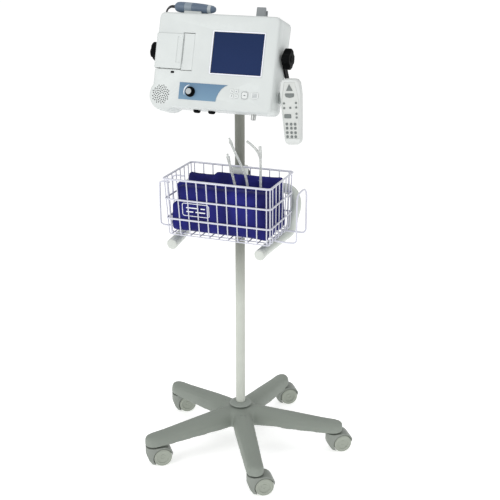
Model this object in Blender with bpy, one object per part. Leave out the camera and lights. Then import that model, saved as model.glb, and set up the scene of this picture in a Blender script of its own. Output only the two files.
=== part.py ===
"""Bedside vascular monitor on a five-leg roll stand, with cuff basket, push handle and remote.

Shapes are drawn in millimetres and turned into metres by `make`. +Z is up, the screen faces -Y,
and +X is the right-hand side of someone facing the screen. The origin is on the floor under the
middle of the stand's footprint, and the pole stands a little to the left and front of it.
"""
import bpy
import bmesh
from math import acos, asin, atan2, cos, pi, radians, sin
from mathutils import Matrix, Vector

MM = 0.001
GAP = 0.3                       # air left between touching pieces

# Stand and base
POLE_AT = (-22.6, -25.5)        # pole axis, seen from the middle of the footprint
POLE_R = 12.7
POLE_WALL = 1.5
POLE_FOOT, POLE_TOP = 64.0, 1004.0
LEGS = 5
FIRST_LEG = -132.6              # degrees from +X, the left front leg
LEG_TIP_R = 23.0
CASTER_R = 257.5                # swivel axes, from the pole axis
LEG_SKIN = 4.0
HUB_TOP = 117.0
COLLAR_R, COLLAR_TOP = 30.0, 128.0

# Casters: +X is the way the wheel trails behind its swivel axis
WHEEL_R, WHEEL_SIDES = 25.0, 20
AXLE_Z = WHEEL_R * cos(pi / WHEEL_SIDES)
TRAIL = 20.0
STEM_R, STEM_TOP = 5.3, 78.0
HOOD_TOP, HOOD_HALF = 54.8, 22.0
WHEEL_IN, WHEEL_OUT = 5.0, 21.5
CASTER_TURNS = (38.0, 34.0, 36.0, 35.0, 35.0)

# Basket: eleven upright wires at one pitch, and half a pitch left at each corner
PITCH = 25.4
BASKET_W, BASKET_D = 11 * PITCH, 7 * 25.0
BASKET_X, BASKET_FRONT = PITCH / 2 - 0.3, -194.0
BASKET_BACK = BASKET_FRONT + BASKET_D
BASKET_RIM = 795.0
ROWS = (0.0, 51.0, 101.5, 143.0)    # wires below the rim
SLOPE_FRONT, SLOPE_SIDE = 14.0, 4.0  # how far the walls lean in over the basket's height
WIRE = 4.0
BRACKET_BOLT = 764.0

# Push handle
HANDLE_R = 13.2
HANDLE_Z, HANDLE_Y = 735.0, 29.0

# Console, in its own frame: X across, Y into the case from the face, Z up the face
CASE_W, CASE_H = 300.0, 224.0
CASE_LOW = -107.5               # lower edge, above the loudspeaker corner's
FACE_AT = (-159.1, 1073.5)      # y and z of the middle of the face
LEAN = 17.84                    # degrees the face leans back
TILT_IN, TILT_UP = 35.5, 23.5   # tilt axis, behind and above the middle of the face
SPLIT = 24.0                    # depth of the joint between the two shells
DEEP_TOP, DEEP_BOTTOM = 84.0, 66.0
SKIN = 3.0
CORNER = 14.0
LOBE = (-119.5, -80.0, 38.0)    # centre and radius of the loudspeaker corner
SCREEN = (53.9, 24.0, 123.0, 94.0)   # middle, width and height of the display window
SCREEN_CORNER = 1.6
BAY = (-160.0, -54.0, -22.2, 65.2)   # printer bay: left, right, bottom, top
DOOR_RIGHT = -82.5
DOOR_AXIS = (-146.0, 13.0)
VOLUME_AT = (-51.5, -69.7)
CURSOR_AT = (57.0, -67.0)
CURSOR_STEP = 5.6
SELECT_AT, SELECT_SIZE = (82.7, -69.3), (17.0, 18.0)
PRINT_AT, PRINT_SIZE = (107.0, -68.5), (18.0, 15.0)
LATCH_AT, LATCH_SIZE = (-102.0, -27.0), (8.0, 4.4)
KEY_GAP = 0.3
SOCKETS_X, SOCKET_IN, SOCKET_R = (-45.5, -8.0), 36.0, 8.6
CONNECTOR_X, CONNECTOR_R = 96.5, 6.0
ROLL_AT, ROLL_R = (-110.5, 28.0), 20.0

# Probe, its cable and its rest on top of the case
PROBE_IN, PROBE_UP = 30.0, 127.8
PROBE_DIP = 91.8                # turn that lays it along X with its nose a little low
CABLE_R = 2.25
PEG_AT = (-70.0, 45.0)
COIL_R, COIL_HALF = 25.0, 7.0

# Yoke and clamp knobs
ARM_IN, ARM_OUT = 151.2, 155.2
KNOBS = (("left", -1, 22.0), ("right", 1, 24.0))     # name, side and radius
KNOB_THICK = 18.0
KNOB_REST = -11.0                # how far the lobes stand turned at rest
YOKE_BAR_Y, YOKE_BAR_Z = -16.0, 987.0

# Remote handset, leaning a little as it hangs
REMOTE_AT = (188.5, -154.0, 974.5)
REMOTE_LEAN = -4.0
REMOTE_DEEP = 22.0
REMOTE_EDGE = ((73.5, 11.5), (71.5, 18), (66, 22.3), (53, 24.3), (38, 25), (0, 23.6), (-40, 21.2),
               (-66, 19.8), (-72.5, 17.2), (-76, 11))      # height and half-width
PAD_EDGE = ((-16, -61), (16, -61), (20, 26), (12, 67), (-12, 67), (-20, 26))
SMALL_KEYS = ((-15.5, 19.6), (-15.5, 8.8), (13.1, 20.7), (13.1, 10.5), (13.1, -3.9), (13.1, -12.4),
              (-1, 9.7))

WHITE = (0.80, 0.82, 0.79)
GREY = (0.23, 0.26, 0.23)
LIGHT_GREY = (0.36, 0.39, 0.35)
BLACK = (0.012, 0.012, 0.013)
KEY_WHITE = (0.72, 0.75, 0.74)
PANEL_BLUE = (0.11, 0.26, 0.43)


# ---------------------------------------------------------------- tools

def clear_scene():
    for thing in list(bpy.data.objects):
        bpy.data.objects.remove(thing, do_unlink=True)


def finish_mesh(bm):
    """Merge coincident points, turn the faces outwards and hand the mesh over."""
    bmesh.ops.remove_doubles(bm, verts=bm.verts, dist=0.001)
    bmesh.ops.recalc_face_normals(bm, faces=bm.faces)
    return bm


def lathe(profile, segments=24, ring=False):
    """Turn (radius, height) points about Z; a ring profile closes on itself."""
    bm = bmesh.new()
    verts = [bm.verts.new((r, 0, z)) for r, z in profile]
    ends = verts[1:] + verts[:1] if ring else verts[1:]
    edges = [bm.edges.new(pair) for pair in zip(verts, ends)]
    bmesh.ops.spin(bm, geom=verts + edges, cent=(0, 0, 0), axis=(0, 0, 1),
                   angle=2 * pi, steps=segments)
    return finish_mesh(bm)


def prism(outline, low, high):
    """The outline, in X and Z, run along Y from low to high."""
    bm = bmesh.new()
    face = bm.faces.new([bm.verts.new((x, low, z)) for x, z in outline])
    grown = bmesh.ops.extrude_face_region(bm, geom=[face])["geom"]
    moved = [v for v in grown if isinstance(v, bmesh.types.BMVert)]
    bmesh.ops.translate(bm, vec=(0, high - low, 0), verts=moved)
    return finish_mesh(bm)


def box(low, high, bevel=0.0, segments=2):
    """A block between two corners, with all its edges rounded when bevel is given."""
    bm = bmesh.new()
    bmesh.ops.create_cube(bm, size=1.0)
    size = Vector(high) - Vector(low)
    middle = (Vector(high) + Vector(low)) / 2
    bmesh.ops.transform(bm, matrix=Matrix.Translation(middle) @ Matrix.Diagonal(size).to_4x4(),
                        verts=bm.verts)
    if bevel:
        bmesh.ops.bevel(bm, geom=list(bm.edges), offset=bevel, segments=segments,
                        profile=0.5, affect="EDGES")
    return finish_mesh(bm)


def loft(rings):
    """Skin rings of equal count, and close both ends."""
    bm = bmesh.new()
    rows = [[bm.verts.new(point) for point in ring] for ring in rings]
    for near, far in zip(rows, rows[1:]):
        for i in range(len(near)):
            j = (i + 1) % len(near)
            bm.faces.new((near[i], near[j], far[j], far[i]))
    bm.faces.new(rows[0])
    bm.faces.new(rows[-1])
    return finish_mesh(bm)


def moved(bm, matrix):
    bmesh.ops.transform(bm, matrix=matrix, verts=bm.verts)
    return finish_mesh(bm)


def shift(x=0.0, y=0.0, z=0.0):
    return Matrix.Translation((x, y, z))


def turn(degrees, axis):
    return Matrix.Rotation(radians(degrees), 4, axis)


def along_x(x, y, z):
    """Stand a turned shape's axis along +X, from a point."""
    return shift(x, y, z) @ turn(90, "Y")


def along_y(x, y, z):
    """Stand a turned shape's axis along +Y, from a point."""
    return shift(x, y, z) @ turn(-90, "X")


def rounded(left, right, bottom, top, radius, steps=4):
    """A rectangle with round corners, anticlockwise from its bottom left."""
    corners = ((left + radius, bottom + radius, 180), (right - radius, bottom + radius, 270),
               (right - radius, top - radius, 0), (left + radius, top - radius, 90))
    points = []
    for x, z, start in corners:
        points += arc(x, z, radius, start, start + 90, steps)
    return points


def arc(x, z, radius, start, end, steps):
    angles = [radians(start + (end - start) * i / steps) for i in range(steps + 1)]
    return [(x + radius * cos(a), z + radius * sin(a)) for a in angles]


def smooth(points, step):
    """Points about one step apart on a Catmull-Rom curve through the given points."""
    knots = [Vector(p) for p in points]
    knots = [2 * knots[0] - knots[1]] + knots + [2 * knots[-1] - knots[-2]]
    route = [knots[1]]
    for a, b, c, d in zip(knots, knots[1:], knots[2:], knots[3:]):
        count = max(1, round((c - b).length / step))
        for i in range(1, count + 1):
            t = i / count
            route.append(0.5 * (2 * b + (c - a) * t + (2 * a - 5 * b + 4 * c - d) * t ** 2
                                + (3 * b - a - 3 * c + d) * t ** 3))
    return route


def paint(thing, name, colour, roughness, metallic):
    material = bpy.data.materials.new(name + "_finish")
    material.use_nodes = True
    shader = material.node_tree.nodes["Principled BSDF"]
    shader.inputs["Base Color"].default_value = (*colour, 1.0)
    shader.inputs["Roughness"].default_value = roughness
    shader.inputs["Metallic"].default_value = metallic
    material.diffuse_color = (*colour, 1.0)
    thing.data.materials.append(material)


def mesh_object(name, bm):
    """A mesh still in millimetres, for shaping with combine."""
    mesh = bpy.data.meshes.new(name)
    bm.to_mesh(mesh)
    bm.free()
    thing = bpy.data.objects.new(name, mesh)
    bpy.context.scene.collection.objects.link(thing)
    return thing


def combine(thing, bm, operation):
    """Cut the shape from thing, or join it on, and keep the result as a plain mesh."""
    tool = mesh_object("tool", bm)
    modifier = thing.modifiers.new("shape", "BOOLEAN")
    modifier.operation = operation
    modifier.object = tool
    seen = thing.evaluated_get(bpy.context.evaluated_depsgraph_get())
    result = bpy.data.meshes.new_from_object(seen)
    thing.modifiers.clear()
    thing.data = result
    bpy.data.objects.remove(tool, do_unlink=True)
    return thing


def cut(thing, bm):
    return combine(thing, bm, "DIFFERENCE")


def join(thing, bm):
    return combine(thing, bm, "UNION")


def make(name, shape, frame, colour, roughness=0.5, metallic=0.0):
    """Finish a node: scale it to metres, hang it on its frame, shade and colour it."""
    thing = shape if isinstance(shape, bpy.types.Object) else mesh_object(name, shape)
    thing.name = name
    thing.data.transform(Matrix.Scale(MM, 4))
    thing.data.polygons.foreach_set("use_smooth", [True] * len(thing.data.polygons))
    thing.data.set_sharp_from_angle(angle=radians(32))
    thing.parent = frame
    paint(thing, name, colour, roughness, metallic)
    return thing


def tube(name, route, radius, frame, colour, roughness=0.5, metallic=0.0, sides=3, girth=None):
    """A round bar or cord along a route; girth gives a radius factor for each point."""
    curve = bpy.data.curves.new(name, "CURVE")
    curve.dimensions = "3D"
    spline = curve.splines.new("POLY")
    spline.points.add(len(route) - 1)
    for i, (spot, place) in enumerate(zip(spline.points, route)):
        spot.co = (*(Vector(place) * MM), 1.0)
        spot.radius = girth[i] if girth else 1.0
    curve.bevel_depth = radius * MM
    curve.bevel_resolution = sides
    curve.use_fill_caps = True
    thing = bpy.data.objects.new(name, curve)
    bpy.context.scene.collection.objects.link(thing)
    thing.parent = frame
    paint(thing, name, colour, roughness, metallic)
    return thing


def frame_at(name, place=(0, 0, 0), parent=None, rotation=(0, 0, 0)):
    """An empty that carries pieces; its rotation is in degrees."""
    empty = bpy.data.objects.new(name, None)
    empty.empty_display_size = 0.02
    empty.location = Vector(place) * MM
    empty.rotation_euler = [radians(a) for a in rotation]
    empty.parent = parent
    bpy.context.scene.collection.objects.link(empty)
    return empty


# ---------------------------------------------------------------- base and casters

def leg_section(r, half, low, high):
    """An arch across a leg at distance r from the pole axis, flat underneath."""
    tall = high - low
    side = [(1.0, 0.0), (0.98, 0.42), (0.86, 0.74), (0.58, 0.93), (0.0, 1.0)]
    side += [(-x, z) for x, z in reversed(side[:-1])]
    return [(r, half * x, low + tall * z) for x, z in side]


def leg(start, end, inset, floor):
    """One leg along +X, with a round end; inset and floor shape the hollow under it."""
    stations = ((8, 27, 66, 116), (70, 27, 66, 112), (150, 25.5, 62, 101), (225, 23.5, 58.5, 91))
    rings = [leg_section(max(r, start), half - inset, low - floor, high - inset)
             for r, half, low, high in stations]
    tip = LEG_TIP_R - inset
    for degrees in (0, 35, 62, 84):
        a = radians(degrees)
        high = 88 - inset - 9 * (1 - cos(a))
        rings.append(leg_section(end + tip * sin(a), tip * cos(a), 57.5 - floor, high))
    return loft(rings)


def base_star(stand):
    star = mesh_object("star", lathe([(0, 66), (44, 66), (47, 72), (45, 104), (38, 112),
                                      (24, HUB_TOP), (0, HUB_TOP)], 24))
    turns = [turn(FIRST_LEG + 72 * k, "Z") for k in range(LEGS)]
    for way in turns:
        join(star, moved(leg(8, CASTER_R, 0, 0), way))
    for way in turns:
        cut(star, moved(leg(52, CASTER_R - 2, LEG_SKIN, 5), way))
    for way in turns:
        boss = lathe([(0, 57.6), (10.5, 57.6), (11.5, 82), (0, 82)], 12)
        join(star, moved(boss, way @ shift(CASTER_R)))
        bore = lathe([(0, 50), (STEM_R + GAP, 50), (STEM_R + GAP, STEM_TOP + 0.6),
                      (0, STEM_TOP + 0.6)], 12)
        cut(star, moved(bore, way @ shift(CASTER_R)))
    cut(star, lathe([(0, 60), (POLE_R + GAP, 60), (POLE_R + GAP, 100), (20.3, 100),
                     (20.3, 125), (0, 125)], 24))
    make("base_star", star, stand, GREY, 0.62)
    collar = lathe([(POLE_R + GAP, 100.4), (20.0, 100.4), (20.0, HUB_TOP + 2.4),
                    (COLLAR_R - 1, HUB_TOP + 2.4), (COLLAR_R, HUB_TOP + 4), (COLLAR_R - 1.5, 124),
                    (18, COLLAR_TOP), (POLE_R + GAP, COLLAR_TOP)], 20, ring=True)
    make("hub_collar", collar, stand, (0.30, 0.33, 0.30), 0.5)


def caster_hood():
    """Swivel block and mudguard in one moulding, with a pocket for a wheel on each side."""
    front = [(-21.5, HOOD_TOP), (-22.5, 45), (-21, 31), (-16.5, 19), (-9, 9.5), (0, 7)]
    back = [(30, 7), (41, 14), (46, 25)]
    over = arc(TRAIL, AXLE_Z, WHEEL_R + 4.8, 20, 90, 6)
    hood = mesh_object("hood", prism(front + back + over, -HOOD_HALF, HOOD_HALF))
    plan = arc(0, 0, HOOD_HALF + 0.6, 90, 270, 8)
    plan += [(40, -HOOD_HALF - 0.6), (52, -HOOD_HALF + 6), (52, HOOD_HALF - 6), (40, HOOD_HALF + 0.6)]
    combine(hood, moved(prism(plan, 0, 70), turn(90, "X")), "INTERSECT")
    pocket = [(0, 0), (WHEEL_R + 1.4, 0), (WHEEL_R + 1.4, 30), (0, 30)]
    for side in (1, -1):
        cut(hood, moved(lathe(pocket, 20), shift(TRAIL, 0, AXLE_Z) @ turn(-90 * side, "X")
                        @ shift(0, 0, WHEEL_IN - 0.6)))
    join(hood, lathe([(0, 50), (9, 50), (9, 56.6), (STEM_R, 56.6), (STEM_R, STEM_TOP), (0, STEM_TOP)],
                     12))
    cut(hood, moved(lathe([(0, -8), (3.8, -8), (3.8, 8), (0, 8)], 12),
                    shift(TRAIL, 0, AXLE_Z) @ turn(90, "X")))
    return hood


def wheel_pair():
    """Two wheels on one axle, about Z, with a flat of the tread facing down."""
    half = [(0, WHEEL_OUT), (22.5, WHEEL_OUT), (WHEEL_R, WHEEL_OUT - 2.5), (WHEEL_R, WHEEL_IN + 2),
            (WHEEL_R - 1.5, WHEEL_IN), (3.5, WHEEL_IN)]
    both = half + [(r, -z) for r, z in reversed(half)]
    pair = lathe(both, WHEEL_SIDES)
    return moved(pair, turn(90, "X") @ turn(180 / WHEEL_SIDES, "Z"))


def casters(stand):
    for k, trail_way in enumerate(CASTER_TURNS, start=1):
        a = radians(FIRST_LEG + 72 * (k - 1))
        place = (CASTER_R * cos(a), CASTER_R * sin(a), 0)
        swivel = frame_at(f"axis_caster_swivel_{k}", place, stand, (0, 0, trail_way))
        make(f"caster_hood_{k}", caster_hood(), swivel, LIGHT_GREY, 0.5)
        axle = frame_at(f"axis_caster_spin_{k}", (TRAIL, 0, AXLE_Z), swivel)
        make(f"caster_wheels_{k}", wheel_pair(), axle, LIGHT_GREY, 0.45)


# ---------------------------------------------------------------- pole and basket

def pole(stand):
    inner = POLE_R - POLE_WALL
    wall = [(inner, POLE_FOOT), (POLE_R, POLE_FOOT), (POLE_R, POLE_TOP), (inner, POLE_TOP)]
    make("pole", lathe(wall, 28, ring=True), stand, (0.66, 0.68, 0.64), 0.35)


def lattice(columns, rows, place, thick, ends=()):
    """A flat grid of bars; place turns (across, up, out) into a point of the basket.

    Rows run past the outer columns as far as the ends.
    """
    bm = bmesh.new()
    across = sorted({edge for bar in columns for edge in bar} | set(ends))
    up = sorted({edge for bar in rows for edge in bar})
    corner = {(a, u): bm.verts.new((a, 0, u)) for a in across for u in up}

    def on_bar(low, high, bars_here):
        return any(bar[0] <= low and high <= bar[1] for bar in bars_here)

    for a0, a1 in zip(across, across[1:]):
        for u0, u1 in zip(up, up[1:]):
            if on_bar(a0, a1, columns) or on_bar(u0, u1, rows):
                bm.faces.new((corner[a0, u0], corner[a1, u0], corner[a1, u1], corner[a0, u1]))
    loose = [v for v in bm.verts if not v.link_faces]
    bmesh.ops.delete(bm, geom=loose, context="VERTS")
    grown = bmesh.ops.extrude_face_region(bm, geom=list(bm.faces))["geom"]
    grown = [v for v in grown if isinstance(v, bmesh.types.BMVert)]
    bmesh.ops.translate(bm, vec=(0, thick, 0), verts=grown)
    for v in bm.verts:
        v.co = place(v.co.x, v.co.z, v.co.y)
    return finish_mesh(bm)


def bars(middles, width=WIRE):
    return [(m - width / 2, m + width / 2) for m in middles]


def basket(stand):
    drop = ROWS[-1]
    rows = [(BASKET_RIM - row - WIRE / 2, BASKET_RIM - row + WIRE / 2) for row in ROWS]
    half = BASKET_W / 2

    def fall(z):
        return (BASKET_RIM - z) / drop

    def front(across, z, out):
        return (BASKET_X + across * (1 - SLOPE_SIDE / half * fall(z)),
                BASKET_FRONT + SLOPE_FRONT * fall(z) + out, z)

    def back(across, z, out):
        return (BASKET_X + across * (1 - SLOPE_SIDE / half * fall(z)), BASKET_BACK - out, z)

    def side_wall(sign):
        def side(share, z, out):
            y0 = BASKET_FRONT + SLOPE_FRONT * fall(z) + WIRE + GAP
            y1 = BASKET_BACK - WIRE - GAP
            return (BASKET_X + sign * (half - SLOPE_SIDE * fall(z) - out), y0 + (y1 - y0) * share, z)
        return side

    inner_columns = bars([PITCH * i for i in range(-5, 6)], 3.0)
    for name, wall in (("basket_front", front), ("basket_back", back)):
        make(name, lattice(inner_columns, rows, wall, WIRE, (-half, half)), stand, WHITE, 0.35)
    side_share = 3.0 / (BASKET_D - 2 * (WIRE + GAP))
    side_bars = [(max(0.0, i / 7 - side_share / 2), min(1.0, i / 7 + side_share / 2))
                 for i in range(8)]
    for name, sign in (("basket_left", -1), ("basket_right", 1)):
        make(name, lattice(side_bars, rows, side_wall(sign), WIRE), stand, WHITE, 0.35)
    y0 = BASKET_FRONT + SLOPE_FRONT + WIRE + GAP
    y1 = BASKET_BACK - WIRE - GAP
    edge = half - SLOPE_SIDE - WIRE - GAP
    along = [(-edge, -edge + WIRE)] + inner_columns + [(edge - WIRE, edge)]
    cross = [(y0, y0 + WIRE), (-104.0, -100.0), (y1 - WIRE, y1)]
    low = BASKET_RIM - drop - WIRE / 2

    def floor(across, y, out):
        return (BASKET_X + across, y, low + out)

    make("basket_floor", lattice(along, cross, floor, WIRE), stand, WHITE, 0.35)


def bracket(stand):
    """Clamp round the pole behind the basket, with a plate that grips the back wires."""
    clamp = mesh_object("clamp", box((-16, -17, 752), (16, 22, 790), 4))
    join(clamp, box((-8, -26, 768), (8, -10, 788)))
    join(clamp, box((-18.5, -26.8, 778), (18.5, BASKET_BACK - WIRE - GAP - 0.1, 789), 1))
    cut(clamp, lathe([(0, 740), (POLE_R + GAP, 740), (POLE_R + GAP, 800), (0, 800)], 24))
    cut(clamp, moved(lathe([(0, 0), (3.3, 0), (3.3, 30), (0, 30)], 12), along_y(0, 10, BRACKET_BOLT)))
    make("basket_bracket", clamp, stand, WHITE, 0.4)
    turn_axis = frame_at("axis_bracket_knob", (0, 22.3, BRACKET_BOLT), stand)
    knob = lathe([(0, -7), (3, -7), (3, 0), (7, 0), (7, 5), (13, 7), (13, 17), (10.5, 20), (0, 20)], 16)
    make("bracket_knob", moved(knob, along_y(0, 0, 0)), turn_axis, BLACK, 0.5)


def handle(stand):
    block = mesh_object("block", box((-22, -17, 717), (22, 46, 750), 5))
    cut(block, lathe([(0, 700), (POLE_R + GAP, 700), (POLE_R + GAP, 760), (0, 760)], 24))
    bore = HANDLE_R + 2 * GAP
    cut(block, moved(lathe([(0, -40), (bore, -40), (bore, 40), (0, 40)], 24),
                     along_x(0, HANDLE_Y, HANDLE_Z)))
    make("handle_clamp", block, stand, WHITE, 0.4)
    right = smooth([(0, 29, HANDLE_Z), (60, 29, HANDLE_Z), (110, 22, 738), (139, 9, 732),
                    (150, 3, 706), (145, -1.5, 674), (141, -3, 651), (137, -13, 635.5),
                    (130, -38, 630.5), (122, -84, 626), (117, -130, 624), (115, -168, 622)], 24)
    left = [Vector((-p.x, p.y, p.z)) for p in reversed(right[1:])]
    tube("push_handle", left + right, HANDLE_R, stand, WHITE, 0.4, sides=3)


def hooks(stand):
    right = [(154.6, -160, 661), (168, -160, 660), (193, -160, 660), (201, -160, 662),
             (205, -160, 668), (205, -160, 680), (205, -160, 752), (205, -159, 766),
             (205, -153, 775), (205, -142, 779), (205, -122, 780), (205, -104, 778),
             (205, -93, 771), (205, -88, 761), (205, -87, 748), (205, -87, 684),
             (204, -87, 671), (199, -87, 665), (188, -87, 664), (168, -87, 664), (154.8, -87, 664)]
    left = [(-129.8, -144, 773), (-142, -144, 774), (-153, -144, 771), (-155, -144, 760),
            (-155, -144, 676), (-152, -144, 665), (-142, -144, 662), (-133, -141, 662),
            (-131, -132, 664), (-131, -72, 697), (-134, -62, 700), (-146, -60, 700),
            (-158, -60, 703), (-160, -60, 714), (-160, -60, 754), (-157, -60, 764),
            (-146, -60, 767), (-129.8, -60, 767)]
    tube("wire_hook_right", smooth(right, 14), 2.2, stand, WHITE, 0.35, sides=1)
    tube("wire_hook_left", smooth(left, 14), 2.2, stand, WHITE, 0.35, sides=1)


# ---------------------------------------------------------------- cuffs and hoses

def cuff(left_top, left_low, right, low, high, near, far, lean):
    """A folded cuff on edge; its front face leans back by lean towards the bottom."""
    rings = []
    step = left_low + (left_top - left_low) * 0.3
    for share, left in ((0.0, left_low), (0.06, left_low), (0.34, left_low), (0.57, step),
                        (0.67, left_top), (0.94, left_top), (1.0, left_top)):
        z = low + (high - low) * share
        near_here = near + lean * (1 - share)
        pinch = 5.0 if share in (0.0, 1.0) else 0.0
        flat = rounded(left + pinch, right - pinch, near_here + pinch, far - pinch, 8.0, 3)
        rings.append([(x, y, z) for x, y in flat])
    return loft(rings)


def cuffs(stand):
    blue = (0.03, 0.05, 0.36)
    front = cuff(-91, -116, 142, 656, 783, -187.5, -151, 13)
    make("cuff_front", front, stand, blue, 0.85)
    make("cuff_middle", cuff(-114, -117, 141, 656, 781, -150, -106, 0), stand, blue, 0.85)
    make("cuff_rear", cuff(-119, -118, 141, 656, 787, -97, -42, 0), stand, blue, 0.85)


def hoses(stand):
    clear = (0.72, 0.73, 0.70)
    y = -101.5
    left = smooth([(7.4, y, 846), (11, y, 830), (20, y, 796), (30, y, 757)], 7)
    middle = smooth([(12.4, y, 886), (22, y, 862), (38, y, 831), (54, y, 797), (62, y, 757)], 7)
    right = smooth([(57.4, y, 882), (72, y, 872), (86, y, 856), (92.5, y, 838), (93, y, 800),
                    (93.4, y, 757)], 7)
    for name, route, long_end in (("left", left, 3), ("middle", middle, 2), ("right", right, 2)):
        girth = [1.45 if i < long_end else 1.0 for i in range(len(route))]
        tube(f"cuff_hose_{name}", route, 3.1, stand, clear, 0.3, sides=2, girth=girth)


# ---------------------------------------------------------------- console

def case_back(z, inset=0.0):
    """Depth of the sloping back at a height on the face."""
    middle = (DEEP_TOP + DEEP_BOTTOM) / 2
    return middle + z * (DEEP_TOP - DEEP_BOTTOM) / CASE_H - inset


def case_outline(inset):
    """The case seen from the front, anticlockwise from the loudspeaker corner."""
    x, z, radius = LOBE
    left, right = -CASE_W / 2 + inset, CASE_W / 2 - inset
    bottom, top = CASE_LOW + inset, CASE_H / 2 - inset
    corner = max(CORNER - inset, 2.0)
    radius -= inset
    start = 180 - acos((x - left) / radius) * 180 / pi
    end = 360 - asin((z - bottom) / radius) * 180 / pi
    points = arc(x, z, radius, start, end, 10)
    points += arc(right - corner, bottom + corner, corner, 270, 360, 4)
    points += arc(right - corner, top - corner, corner, 0, 90, 4)
    points += arc(left + corner, top - corner, corner, 90, 180, 4)
    return points


def case_ring(inset, depth):
    """One ring of the case; depth is a number, or a function of the height."""
    return [(x, depth(z) if callable(depth) else depth, z) for x, z in case_outline(inset)]


def window(left, right, bottom, top, radius, low, high):
    return prism(rounded(left, right, bottom, top, radius, 3), low, high)


def key_body(at, size, radius, front, flange):
    """A key cap with a flange behind the face."""
    w, h = size[0] / 2, size[1] / 2
    x, z = at
    key = mesh_object("key", window(x - w, x + w, z - h, z + h, radius, front, SKIN + 2))
    edge = flange
    join(key, window(x - w - edge, x + w + edge, z - h - edge, z + h + edge, radius,
                     SKIN + 1.7, SKIN + 2.8))
    return key


def key_hole(at, size, radius):
    w, h = size[0] / 2 + KEY_GAP, size[1] / 2 + KEY_GAP
    x, z = at
    return window(x - w, x + w, z - h, z + h, radius + KEY_GAP, -5, SKIN + 1)


def cursor_places():
    x, z = CURSOR_AT
    step = CURSOR_STEP
    return [(x - step, z + step), (x + step, z + step), (x - step, z - step), (x + step, z - step)]


def hole_y(x, z, radius, low, high, sides=20):
    """A round hole or rod along Y."""
    return moved(lathe([(0, 0), (radius, 0), (radius, high - low), (0, high - low)], sides),
                 along_y(x, low, z))


def front_shell(face):
    rim = SPLIT - GAP / 2
    rings = [case_ring(7.0, 0), case_ring(3.2, 0.9), case_ring(1.0, 3.4), case_ring(0, 8),
             case_ring(0, rim), case_ring(SKIN, rim), case_ring(SKIN, 9.5), case_ring(9.0, SKIN)]
    shell = mesh_object("shell", loft(rings))
    x, z, w, h = SCREEN
    ring = [(s, d) for s, d in ((5.8, -1.0), (5.0, 0.0), (0.4, 2.0), (0.4, 6.0))]
    cut(shell, loft([[(px, depth, pz) for px, pz in
                      rounded(x - w / 2 - s, x + w / 2 + s, z - h / 2 - s, z + h / 2 + s,
                              SCREEN_CORNER + 0.4)] for s, depth in ring]))
    left, right, bottom, top = BAY
    cut(shell, box((left, -3, bottom + 1), (DOOR_RIGHT + 1, 20.5, top - 3)))
    cut(shell, box((DOOR_RIGHT - 1, -3, bottom), (right, 6, top)))
    cut(shell, key_hole(LATCH_AT, LATCH_SIZE, 1.5))
    cut(shell, key_hole(SELECT_AT, SELECT_SIZE, 5.0))
    cut(shell, key_hole(PRINT_AT, PRINT_SIZE, 5.0))
    for place in cursor_places():
        cut(shell, key_hole(place, (9.2, 9.2), 3.0))
    cut(shell, hole_y(*VOLUME_AT, 3.4, -4, SKIN + 3, 12))
    make("front_shell", shell, face, WHITE, 0.5)


def rear_shell(face):
    rim = SPLIT + GAP / 2
    rings = [case_ring(7.0, case_back), case_ring(2.5, lambda z: case_back(z, 1.5)),
             case_ring(0, lambda z: case_back(z, 6)), case_ring(0, rim), case_ring(SKIN, rim),
             case_ring(SKIN, lambda z: case_back(z, 9)), case_ring(9.0, lambda z: case_back(z, SKIN))]
    shell = mesh_object("shell", loft(rings))
    for x in SOCKETS_X:
        cut(shell, moved(lathe([(0, 0), (SOCKET_R + GAP, 0), (SOCKET_R + GAP, 20), (0, 20)], 24),
                         shift(x, SOCKET_IN, CASE_LOW - 10)))
    cut(shell, moved(lathe([(0, 0), (CONNECTOR_R + GAP, 0), (CONNECTOR_R + GAP, 20), (0, 20)], 20),
                     shift(CONNECTOR_X, SOCKET_IN, CASE_LOW - 10)))
    for side in (1, -1):
        stud = lathe([(0, 0), (4.4, 0), (4.4, 20), (0, 20)], 12)
        cut(shell, moved(stud, along_x(side * CASE_W / 2 - 10, TILT_IN, TILT_UP)))
    x, z = PEG_AT
    back = case_back(z)
    peg = lathe([(0, -1.5), (8, -1.5), (8, 19), (13, 20), (13, 23), (0, 23)], 16)
    join(shell, moved(peg, along_y(x, back, z)))
    boss = lathe([(0, -1.5), (6, -1.5), (5, 9), (0, 9)], 16)
    bx, bz = x - 44, z - 34
    join(shell, moved(boss, along_y(bx, case_back(bz), bz)))
    cut(shell, hole_y(bx, bz, CABLE_R + GAP, case_back(bz) + 3, case_back(bz) + 14, 12))
    make("rear_shell", shell, face, WHITE, 0.5)


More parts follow.
